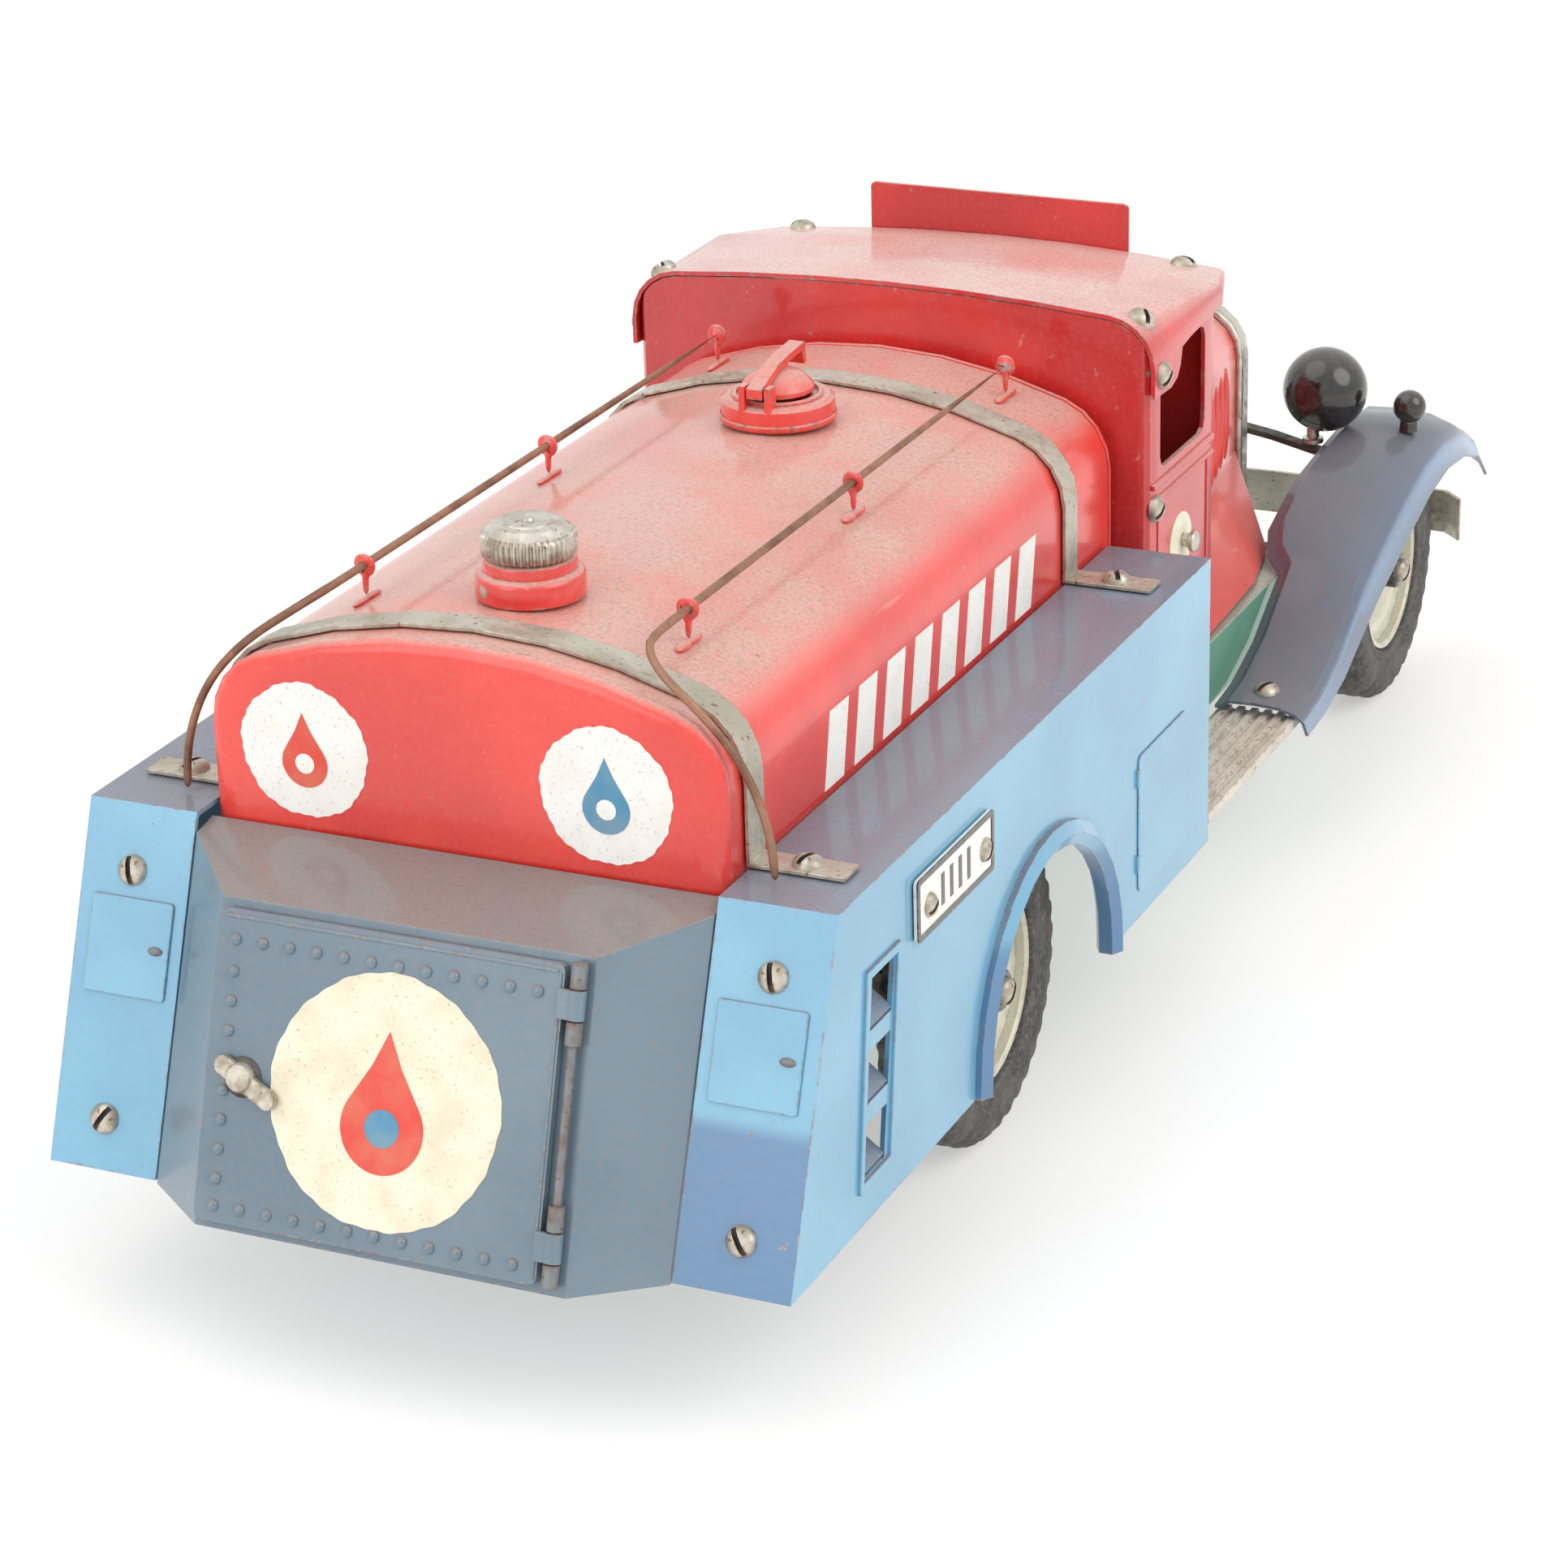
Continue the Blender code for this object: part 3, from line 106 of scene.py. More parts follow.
SHARP_ANGLE = 38               # degrees
FLAT_ANGLE = 0.4               # facets that differ by less are one face
WELD_DISTANCE = 0.005          # millimetres


def spot(x, y, z):
    """A place in the vehicle's millimetres, as a point of the frame in metres."""
    return Vector((x, y - MIDDLE_Y, z)) * MM


# --- materials ----------------------------------------------------------------------
class Finish:
    """A Principled material whose colour and gloss come from layers of noise."""

    def __init__(self, name, slot):
        self.slot = slot
        self.material = bpy.data.materials.new(name)
        self.material.use_nodes = True
        self.nodes = self.material.node_tree.nodes
        self.links = self.material.node_tree.links
        self.shader = self.nodes["Principled BSDF"]
        self.place = self.nodes.new("ShaderNodeTexCoord").outputs["Object"]
        self.normal = self.nodes.new("ShaderNodeNewGeometry").outputs["Normal"]

    def feed(self, socket, value):
        if isinstance(value, bpy.types.NodeSocket):
            self.links.new(value, socket)
        elif isinstance(value, tuple):
            socket.default_value = (*value, 1.0)
        else:
            socket.default_value = value

    def noise(self, size, detail=3.0, seed=0.0, stretch=(1, 1, 1)):
        """Noise whose features are about `size` millimetres across."""
        mapping = self.nodes.new("ShaderNodeMapping")
        mapping.inputs["Location"].default_value = (seed, 2 * seed, 3 * seed)
        mapping.inputs["Scale"].default_value = [s / (size * MM) for s in stretch]
        self.links.new(self.place, mapping.inputs["Vector"])
        node = self.nodes.new("ShaderNodeTexNoise")
        node.inputs["Scale"].default_value = 1.0
        node.inputs["Detail"].default_value = detail
        self.links.new(mapping.outputs["Vector"], node.inputs["Vector"])
        return node.outputs["Fac"]

    def between(self, value, low, high, start=0.0, end=1.0):
        node = self.nodes.new("ShaderNodeMapRange")
        node.interpolation_type = "SMOOTHSTEP"
        self.links.new(value, node.inputs["Value"])
        for name, number in (("From Min", low), ("From Max", high), ("To Min", start),
                             ("To Max", end)):
            node.inputs[name].default_value = number
        return node.outputs["Result"]

    def ramp(self, axis, low, high):
        """A step over the object's own x, y or z, in millimetres from its middle."""
        apart = self.nodes.new("ShaderNodeSeparateXYZ")
        self.links.new(self.place, apart.inputs["Vector"])
        return self.between(self.math("ABSOLUTE", apart.outputs[axis], 0.0), low * MM, high * MM)

    def math(self, operation, a, b):
        node = self.nodes.new("ShaderNodeMath")
        node.operation = operation
        node.use_clamp = True
        self.feed(node.inputs[0], a)
        self.feed(node.inputs[1], b)
        return node.outputs[0]

    def blend(self, share, a, b):
        node = self.nodes.new("ShaderNodeMix")
        node.data_type = "RGBA"
        self.feed(node.inputs["Factor"], share)
        self.feed(node.inputs[6], a)
        self.feed(node.inputs[7], b)
        return node.outputs[2]

    def facing(self, direction, low, high):
        node = self.nodes.new("ShaderNodeVectorMath")
        node.operation = "DOT_PRODUCT"
        self.links.new(self.normal, node.inputs[0])
        node.inputs[1].default_value = direction
        return self.between(node.outputs["Value"], low, high)

    def edges(self, radius, low=0.015, high=0.12):
        """Near one along convex and concave edges, for wear."""
        bevel = self.nodes.new("ShaderNodeBevel")
        bevel.samples = 4
        bevel.inputs["Radius"].default_value = radius * MM
        dot = self.nodes.new("ShaderNodeVectorMath")
        dot.operation = "DOT_PRODUCT"
        self.links.new(bevel.outputs["Normal"], dot.inputs[0])
        self.links.new(self.normal, dot.inputs[1])
        return self.between(dot.outputs["Value"], 1 - low, 1 - high)

    def bump(self, height, depth):
        node = self.nodes.new("ShaderNodeBump")
        node.inputs["Distance"].default_value = depth * MM
        self.links.new(height, node.inputs["Height"])
        self.links.new(node.outputs["Normal"], self.shader.inputs["Normal"])

    def finish(self, colour, roughness, **plain):
        self.feed(self.shader.inputs["Base Color"], colour)
        self.feed(self.shader.inputs["Roughness"], roughness)
        for name, number in plain.items():
            self.shader.inputs[name].default_value = number
        return self


GREY_DUST = (0.42, 0.36, 0.32)
RUST = (0.20, 0.085, 0.045)
DARK_GRIME = (0.20, 0.125, 0.10)
BARE_TIN = (0.33, 0.29, 0.25)


def enamel(name, slot, colour, shade, dust=GREY_DUST, dusty=0.7, chip=BARE_TIN, chipped=0.8,
           rough=0.28, speckled=0.12, zone=None):
    """Old stove enamel: cloudy, dusty on top, scratched, and chipped along its edges.

    A zone (axis, low, high, direction, colour) is laid on faces that look one way; the right box's
    zone is painted shade.
    """
    f = Finish(name, slot)
    tone = f.blend(f.between(f.noise(38, 4), 0.36, 0.66), shade, colour)
    # The zone colour: painted shade low on the right box's rear faces.
    if zone:
        axis, low, high, direction, zone_colour = zone
        share = f.math("MULTIPLY", f.ramp(axis, low, high), f.facing(direction, 0.1, 0.5))
        tone = f.blend(share, tone, zone_colour)
    film = f.between(f.noise(1.3, 3, 3), 0.42, 0.78, 0.0, speckled)
    tone = f.blend(film, tone, dust)
    scratch = f.between(f.noise(2.2, 2, 5, (1, 0.07, 0.6)), 0.70, 0.76, 0.0, 0.3)
    tone = f.blend(scratch, tone, dust)
    patches = f.between(f.noise(24, 5, 7), 0.28, 0.62, 0.7, 1.0)
    grains = f.between(f.noise(0.7, 2, 9), 0.36, 0.66, 0.7, 1.0)
    settled = f.math("MULTIPLY", f.facing((0, 0, 1), 0.45, 0.97), patches)
    settled = f.math("MULTIPLY", settled, grains)
    settled = f.math("MULTIPLY", settled, dusty)
    tone = f.blend(settled, tone, dust)
    grime = f.math("MULTIPLY", f.between(f.noise(0.8, 4, 21), 0.52, 0.66, 0.0, 0.4), settled)
    tone = f.blend(grime, tone, DARK_GRIME)
    along = f.between(f.noise(3.4, 5, 11), 0.50, 0.58)
    worn = f.math("MULTIPLY", f.edges(0.9), along)
    spots = f.between(f.noise(5.0, 6, 13), 0.735, 0.75)
    worn = f.math("MULTIPLY", f.math("MAXIMUM", worn, spots), chipped)
    rusty = f.blend(f.between(f.noise(1.6, 4, 15), 0.4, 0.6), chip, RUST)
    tone = f.blend(worn, tone, rusty)
    gloss = f.between(f.math("MAXIMUM", settled, worn), 0.0, 0.7, rough, 0.66)
    height = f.math("SUBTRACT", f.noise(2.6, 3, 17), worn)
    f.bump(height, 0.06)
    return f.finish(tone, gloss, **{"Coat Weight": 0.6, "Coat Roughness": 0.12})


def plated(name, slot, colour, stain, rough=0.3, stained=0.6, size=6.0, metallic=1.0):
    """Tinned or nickelled steel with tarnish, grime and rust."""
    f = Finish(name, slot)
    cloud = f.between(f.noise(size, 5), 0.38, 0.66, 0.0, stained)
    tone = f.blend(cloud, colour, stain)
    specks = f.between(f.noise(1.2, 4, 4), 0.62, 0.70)
    rim = f.math("MULTIPLY", f.edges(0.8), f.between(f.noise(2.4, 4, 6), 0.42, 0.60))
    tone = f.blend(f.math("MULTIPLY", f.math("MAXIMUM", specks, rim), 0.75), tone, RUST)
    gloss = f.between(f.noise(2.0, 4, 8), 0.3, 0.7, rough, rough + 0.3)
    f.bump(f.noise(0.8, 3, 10), 0.03)
    return f.finish(tone, gloss, Metallic=metallic)


def rubber(name):
    f = Finish(name, "black_rubber")
    tone = f.blend(f.between(f.noise(7, 5), 0.4, 0.7), (0.035, 0.034, 0.033), (0.085, 0.078, 0.07))
    dust = f.between(f.noise(1.1, 4, 5), 0.45, 0.72, 0.0, 0.5)
    tone = f.blend(dust, tone, (0.24, 0.20, 0.17))
    f.bump(f.noise(0.9, 4, 8), 0.10)
    return f.finish(tone, f.between(dust, 0.0, 0.5, 0.55, 0.85))


def paper(name, slot, colour, foxed=0.35):
    """A varnished label or flat paint: yellowed, flecked and rubbed through."""
    f = Finish(name, slot)
    tone = f.blend(f.between(f.noise(9, 5), 0.35, 0.7, 0.0, foxed), colour, (0.56, 0.44, 0.27))
    flecks = f.between(f.noise(0.8, 4, 4), 0.60, 0.70, 0.0, 0.4)
    tone = f.blend(flecks, tone, (0.34, 0.24, 0.15))
    f.bump(f.noise(1.4, 3, 8), 0.04)
    return f.finish(tone, f.between(f.noise(3, 3, 9), 0.3, 0.7, 0.4, 0.6))


def glass(name):
    f = Finish(name, "nickel")
    ribs = f.noise(3.0, 2, 3, (1, 1, 0.05))
    f.bump(ribs, 0.5)
    tone = f.blend(f.between(f.noise(4, 4), 0.45, 0.75, 0.0, 0.4), (0.86, 0.88, 0.86), GREY_DUST)
    return f.finish(tone, f.between(ribs, 0.3, 0.7, 0.05, 0.16), **{"Transmission Weight": 0.5})


PINK_DUST = (0.58, 0.36, 0.30)
RED = enamel("red_enamel", "red_enamel", (0.80, 0.056, 0.040), (0.66, 0.038, 0.029), PINK_DUST,
             1.1, speckled=0.07)
DARK_RED = enamel("cab_red_enamel", "red_enamel", (0.66, 0.032, 0.029), (0.50, 0.022, 0.022),
                  (0.66, 0.45, 0.40), 1.1, speckled=0.05)
BLUE_TONES = ((0.18, 0.42, 0.58), (0.145, 0.36, 0.52), (0.185, 0.205, 0.255))
BLUE = enamel("light_blue_enamel", "light_blue_enamel", *BLUE_TONES, 1.4)
# Painted shade: deep blue on the right box's rear-facing faces below about 58 mm.
BLUE_RIGHT = enamel("blue_enamel_painted_shade", "light_blue_enamel", *BLUE_TONES, 1.4,
                    zone=("Z", 60, 56, (0, -1, 0), (0.085, 0.20, 0.36)))
SLATE = enamel("slate_blue_enamel", "slate_blue_enamel", (0.150, 0.215, 0.265),
               (0.12, 0.18, 0.23), (0.24, 0.205, 0.185), 1.2, speckled=0.3)
WING = enamel("wing_enamel", "slate_blue_enamel", (0.095, 0.13, 0.20), (0.08, 0.105, 0.165),
              (0.135, 0.14, 0.165), 1.1, speckled=0.3,
              zone=("X", 81.6, 83.0, (0, 0, 1), (0.25, 0.36, 0.52)))
GREEN = enamel("green_enamel", "green_enamel", (0.15, 0.38, 0.27), (0.12, 0.32, 0.22),
               (0.40, 0.38, 0.31), 1.1)
CREAM = enamel("cream_enamel", "cream_enamel", (0.66, 0.63, 0.49), (0.57, 0.54, 0.42),
               (0.40, 0.36, 0.28), 0.4, rough=0.4)
BLACK = enamel("black_enamel", "black_enamel", (0.012, 0.012, 0.012), (0.02, 0.018, 0.016),
               (0.20, 0.18, 0.16), 0.25, rough=0.16, speckled=0.10)
NICKEL = plated("nickel", "nickel", (0.66, 0.63, 0.56), (0.38, 0.33, 0.26), 0.26, 0.6)
SCREWS = plated("old_nickel", "nickel", (0.60, 0.56, 0.48), (0.34, 0.29, 0.22), 0.38, 0.8, 3, 0.8)
# Painted shade: near-black for the floor and walls of the screw slots.
PAINTED_SLOT_SHADE = plated("slot_painted_shade", "nickel", (0.05, 0.042, 0.035), (0.03, 0.024, 0.02), 0.7, 0.8, 3, 0.2)
TIN = plated("tinned_steel", "tinned_steel", (0.58, 0.55, 0.47), (0.38, 0.34, 0.26), 0.36, 0.7, 14,
             0.75)
BOARD = plated("tinned_board", "tinned_steel", (0.72, 0.67, 0.59), (0.56, 0.51, 0.43), 0.5, 0.7,
               12, 0.3)
DARK = plated("blackened_steel", "tinned_steel", (0.11, 0.105, 0.09), (0.06, 0.05, 0.04), 0.4, 0.8,
              8, 0.7)
HINGE = plated("rusty_hinge", "tinned_steel", (0.24, 0.25, 0.26), (0.20, 0.145, 0.115), 0.45, 0.7,
               3, 0.6)
COPPER = plated("coppered_wire", "coppered_wire", (0.36, 0.19, 0.12), (0.17, 0.085, 0.055), 0.36,
                0.85, 9, 0.6)
RUBBER = rubber("black_rubber")
LABEL = paper("cream_label", "cream_enamel", (0.80, 0.76, 0.60))
WHITE = paper("white_paint", "white_enamel", (0.86, 0.85, 0.81), 0.15)
MARK_RED = paper("red_mark", "red_enamel", (0.70, 0.06, 0.04), 0.2)
MARK_BLUE = paper("blue_mark", "light_blue_enamel", (0.07, 0.26, 0.42), 0.2)
GLASS = glass("lamp_glass")


# --- mesh tools ---------------------------------------------------------------------
def aim(at, direction, turn=0.0):
    """A matrix that stands a shape's local Z along `direction`."""
    matrix = Vector(direction).to_track_quat("Z", "Y").to_matrix().to_4x4()
    return Matrix.Translation(at) @ matrix @ Matrix.Rotation(math.radians(turn), 4, "Z")


def sheet_frame(at, outward, up):
    """A matrix whose local Z points out of a face and whose local Y runs up it."""
    z = Vector(outward).normalized()
    y = Vector(up).normalized()
    x = y.cross(z)
    matrix = Matrix((x, y, z)).transposed().to_4x4()
    return Matrix.Translation(at) @ matrix


def slanted_face(x, top, bottom, down, out=0.0):
    """The frame of a slanted rear face, `down` millimetres below its top edge."""
    run = Vector((0, bottom[0] - top[0], bottom[1] - top[1])).normalized()
    outward = Vector((0, run.z, -run.y))
    at = spot(x, *top) + (run * down + outward * out) * MM
    return sheet_frame(at, outward, -run)


def to_mesh(name, work):
    bmesh.ops.recalc_face_normals(work, faces=work.faces)
    mesh = bpy.data.meshes.new(name)
    work.to_mesh(mesh)
    work.free()
    return mesh


def lathe(name, profile, steps=96, teeth=0, depth=0.0, closed=False):
    """A turned mesh from (radius, height) points; a third value marks knurled points."""
    steps = 4 * teeth if teeth else steps
    work = bmesh.new()
    rows = []
    for radius, height, *knurled in profile:
        count = steps if radius else 1
        row = []
        for i in range(count):
            valley = depth if knurled and (i // 2) % 2 else 0.0
            angle = 2 * math.pi * i / steps
            reach = (radius - valley) * MM
            row.append(work.verts.new((reach * math.cos(angle), reach * math.sin(angle),
                                       height * MM)))
        rows.append(row)
    pairs = list(zip(rows, rows[1:]))
    if closed:
        pairs.append((rows[-1], rows[0]))
    for upper, lower in pairs:
        for i in range(steps):
            j = (i + 1) % steps
            corners = [upper[i % len(upper)], lower[i % len(lower)], lower[j % len(lower)],
                       upper[j % len(upper)]]
            work.faces.new(list(dict.fromkeys(corners)))
    return to_mesh(name, work)


def plate(name, outline, thickness):
    """A flat outline, from local z = 0 to its thickness."""
    work = bmesh.new()
    face = work.faces.new([work.verts.new((u * MM, v * MM, 0)) for u, v in outline])
    result = bmesh.ops.extrude_face_region(work, geom=[face])
    moved = [v for v in result["geom"] if isinstance(v, bmesh.types.BMVert)]
    bmesh.ops.translate(work, verts=moved, vec=(0, 0, thickness * MM))
    return to_mesh(name, work)


def domes(name, places, size):
    """Many small ellipsoids in one mesh: `size` is the three half sizes."""
    work = bmesh.new()
    for u, v in places:
        scale = Matrix.Diagonal([s * MM for s in size]).to_4x4()
        where = Matrix.Translation((u * MM, v * MM, 0)) @ scale
        bmesh.ops.create_uvsphere(work, u_segments=20, v_segments=12, radius=1.0, matrix=where)
    return to_mesh(name, work)


def bars(name, boxes):
    """Many boxes in one mesh, each (centre, size)."""
    work = bmesh.new()
    for centre, size in boxes:
        scale = Matrix.Diagonal([s * MM for s in size]).to_4x4()
        where = Matrix.Translation([c * MM for c in centre]) @ scale
        bmesh.ops.create_cube(work, size=1.0, matrix=where)
    return to_mesh(name, work)


def arc(cu, cv, radius, start, end, count):
    step = (end - start) / (count - 1)
    angles = [math.radians(start + step * i) for i in range(count)]
    return [(cu + radius * math.cos(a), cv + radius * math.sin(a)) for a in angles]


def rounded(u0, v0, u1, v1, radius, count=6):
    return (arc(u1 - radius, v1 - radius, radius, 0, 90, count)
            + arc(u0 + radius, v1 - radius, radius, 90, 180, count)
            + arc(u0 + radius, v0 + radius, radius, 180, 270, count)
            + arc(u1 - radius, v0 + radius, radius, 270, 360, count))


def soften(obj, width, segments=2, angle=30):
    bevel = obj.modifiers.new("Soft edges", "BEVEL")
    bevel.width = width * MM
    bevel.segments = segments
    bevel.limit_method = "ANGLE"
    bevel.angle_limit = math.radians(angle)
    bevel.harden_normals = True
    return obj


def add(name, mesh, matrix, body, finish, bevel=0.0, replaces=()):
    """A new piece: shape, place, the body that carries it, and its finish."""
    obj = bpy.data.objects.new(name, mesh)
    bpy.context.scene.collection.objects.link(obj)
    obj.matrix_world = matrix
    if not mesh.materials:
        mesh.materials.append(finish.material)
        mesh.shade_smooth()
        mesh.set_sharp_from_angle(angle=math.radians(SHARP_ANGLE))
    if bevel:
        soften(obj, bevel)
    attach(obj, body)
    if replaces:
        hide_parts(*replaces)
    return obj


def dress(finish, width, *names, smooth=0):
    """Give CAD nodes their finish, merged facets and softened edges."""
    for name in names:
        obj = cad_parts[name]
        mesh = obj.data
        for attribute in ("custom_normal", "sharp_edge", "sharp_face"):
            if attribute in mesh.attributes:
                mesh.attributes.remove(mesh.attributes[attribute])
        mesh.shade_smooth()
        mesh.materials.clear()
        mesh.materials.append(finish.material)
        weld = obj.modifiers.new("Weld", "WELD")
        weld.merge_threshold = WELD_DISTANCE * MM
        flat = obj.modifiers.new("Whole faces", "DECIMATE")
        flat.decimate_type = "DISSOLVE"
        flat.angle_limit = math.radians(FLAT_ANGLE)
        if width:
            soften(obj, width)
        if smooth:
            subdivide = obj.modifiers.new("Smooth", "SUBSURF")
            subdivide.levels = smooth
            subdivide.render_levels = smooth


# --- screws -------------------------------------------------------------------------
SLOT_HALF = 0.55
SLOT_FLOOR = 1.0


def screw_head():
    """A slotted round head, 6.3 mm across, with its seat at z = 0."""
    profile = [(0, 2.0), (1.2, 1.93), (2.1, 1.6), (2.75, 1.05), (3.1, 0.35), (SCREW_RADIUS, -0.4),
               (0, -0.4)]
    head = bpy.data.objects.new("screw_head", lathe("screw_head", profile, 40))
    groove = ((0, 0, SLOT_FLOOR + 1.0), (8, 2 * SLOT_HALF, 2.0))
    slot = bpy.data.objects.new("screw_slot", bars("screw_slot", [groove]))
    for obj in (head, slot):
        bpy.context.scene.collection.objects.link(obj)
    step = head.modifiers.new("Slot", "BOOLEAN")
    step.operation = "DIFFERENCE"
    step.object = slot
    graph = bpy.context.evaluated_depsgraph_get()
    mesh = bpy.data.meshes.new_from_object(head.evaluated_get(graph))
    mesh.name = "slotted_head"
    for obj in (head, slot):
        bpy.data.objects.remove(obj)
    mesh.materials.clear()
    mesh.materials.append(SCREWS.material)
    mesh.materials.append(PAINTED_SLOT_SHADE.material)
    mesh.shade_smooth()
    mesh.set_sharp_from_angle(angle=math.radians(SHARP_ANGLE))
    # The slot's floor and walls take the second material, which is painted shade.
    for face in mesh.polygons:
        inside = abs(face.center.y) < (SLOT_HALF + 0.02) * MM
        on_floor = abs(face.center.z - SLOT_FLOOR * MM) < 0.01 * MM
        face.material_index = int(inside and (on_floor or abs(face.normal.y) > 0.99))
    return mesh


SCREW = screw_head()


def screw(name, at, direction, turn, body="lorry", scale=1.0):
    matrix = aim(at, direction, turn) @ Matrix.Scale(scale, 4)
    return add(name, SCREW, matrix, body, SCREWS)


def on_roof(x, y, inward):
    """The point and the normal where a line from outside meets the roof sheet."""
    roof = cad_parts["cab_roof"]
    to_roof = roof.matrix_world.inverted()
    start = to_roof @ (spot(x, y, 145.0) - Vector(inward) * 0.03)
    _, at, normal, _ = roof.ray_cast(start, to_roof.to_3x3() @ Vector(inward))
    return roof.matrix_world @ at, normal


def make_screws():
    for side, label in SIDES:
        for number, (down, turn) in enumerate(((13.2, 12), (62.4, 32 * side)), 1):
            face = slanted_face(side * BOX_MIDDLE_X, BOX_REAR_TOP, BOX_REAR_BOTTOM, down)
            screw(f"box_rear_screw_{label}_{number}", face.translation, face.col[2].xyz,
                  90 + turn)
        for number, y in enumerate(STRAP_YS, 1):
            screw(f"strap_screw_{label}_{number}", spot(side * 66.5, y, STRAP_FOOT_TOP),
                  (0, 0, 1), 20 + 50 * number)
        corner, outward = on_roof(side * 58.2, 24.0, (-side * 0.6, 0, -0.8))
        screw(f"roof_screw_rear_{label}", corner, outward, 40)
        peak, upward = on_roof(side * 48.4, 80.0, (0, 0, -1))
        screw(f"roof_screw_front_{label}", peak, upward, 10)
        screw(f"roof_tab_screw_{label}", spot(side * ROOF_HALF, 22.6, 133.6), (side, 0, 0), 35)
        screw(f"cab_screw_{label}", spot(side * CAB_HALF, 21.8, 102.6), (side, 0, 0), 35)
        screw(f"hood_screw_{label}", spot(side * 50.6, 67.0, 105.5), (side, -0.15, 0), 80)
        screw(f"wing_screw_{label}", spot(side * 71.0, 78.0, 39.2), (0, -0.12, 1), 60)


# --- rear locker and side boxes -----------------------------------------------------
def drop_outline(radius):
    """A plain drop: a round foot and a pointed top."""
    return arc(0, 0, radius, -215, 35, 40) + [(radius * 0.36, radius * 1.32), (0, radius * 2.1),
                                              (-radius * 0.36, radius * 1.32)]


def disc_mark(name, face, radius, body, ground, ink, second):
    """A round label with a generic drop on it."""
    outline = []
    for number in range(240):
        angle = 2 * math.pi * number / 240
        worn = 0.16 * math.sin(5 * angle) + 0.12 * math.sin(13 * angle + 1)
        worn += 0.10 * math.sin(31 * angle + 2)
        outline.append(((radius + worn) * math.cos(angle), (radius + worn) * math.sin(angle)))
    add(f"{name}_disc", plate(f"{name}_disc", outline, 0.16), face, body, ground)
    raised = Matrix.Translation(face.col[2].xyz * 0.16 * MM) @ face
    lower = Matrix.Translation(-face.col[1].xyz * radius * 0.2 * MM) @ raised
    add(f"{name}_drop", plate(f"{name}_drop", drop_outline(radius * 0.36), 0.07), lower, body, ink)
    spark = arc(0, 0, radius * 0.15, 0, 342, 20)
    above = Matrix.Translation(face.col[2].xyz * 0.07 * MM) @ lower
    add(f"{name}_spot", plate(f"{name}_spot", spark, 0.06), above, body, second)


def door_frame(x, down, out=DOOR_OUT):
    return slanted_face(x, DOOR_FACE_TOP, DOOR_FACE_BOTTOM, down, out)


def make_door_details():
    disc_mark("door_label", door_frame(-0.3, 33.5), 24.5, "locker_door", LABEL, MARK_RED, MARK_BLUE)
    left, right = RIVET_XS
    step_x = (right - left) / 11
    rows = [(left + step_x * i, -down) for down in RIVET_DOWNS for i in range(12)]
    rows += [(-34.8, -(8.0 + 51.5 * i / 9)) for i in range(1, 9)]
    add("door_rivets", domes("door_rivets", rows, (1.2, 1.2, 1.0)), door_frame(0, 0),
        "locker_door", SLATE)
    border = [((-2.3, -3.2, 0), (71.0, 0.7, 0.5)), ((33.6, -32.2, 0), (0.7, 57.6, 0.5))]
    add("door_border", bars("door_border", border), door_frame(0, 0), "locker_door", SLATE, 0.2)
    washer = lathe("handle_washer", [(0, 0.5), (3.6, 0.5), (4.0, 0.2), (4.0, -0.1), (0, -0.1)], 48)
    add("handle_washer", washer, door_frame(-30.8, 33.5), "locker_door", DARK)


def make_box_details():
    for side, label in SIDES:
        face = slanted_face(side * 67.6, BOX_REAR_TOP, BOX_REAR_BOTTOM, 28.2)
        add(f"rear_panel_{label}", plate(f"rear_panel_{label}", rounded(-9.2, -9.7, 9.2, 9.7, 0.8),
                                         0.55), face, "lorry", BLUE, 0.25)
        bump = face @ Matrix.Translation((6.2 * MM, 0, 0.5 * MM))
        add(f"panel_latch_{label}", domes(f"panel_latch_{label}", [(0, 0)], (1.7, 0.9, 0.8)), bump,
            "lorry", HINGE)
        hatch = sheet_frame(spot(side * BOX_OUTER, -21.0, 51.3), (side, 0, 0), (0, 0, 1))
        add(f"side_hatch_{label}", plate(f"side_hatch_{label}", rounded(-15.3, -16, 15.3, 16, 2.0),
                                         0.4), hatch, "lorry", BLUE, 0.2)
        knuckles = [((side * -15.6, z, 0.2), (1.3, 4.4, 1.1)) for z in (11.0, -9.0)]
        add(f"hatch_hinges_{label}", bars(f"hatch_hinges_{label}", knuckles), hatch, "lorry", BLUE,
            0.4)
        make_vent_frame(side, label)


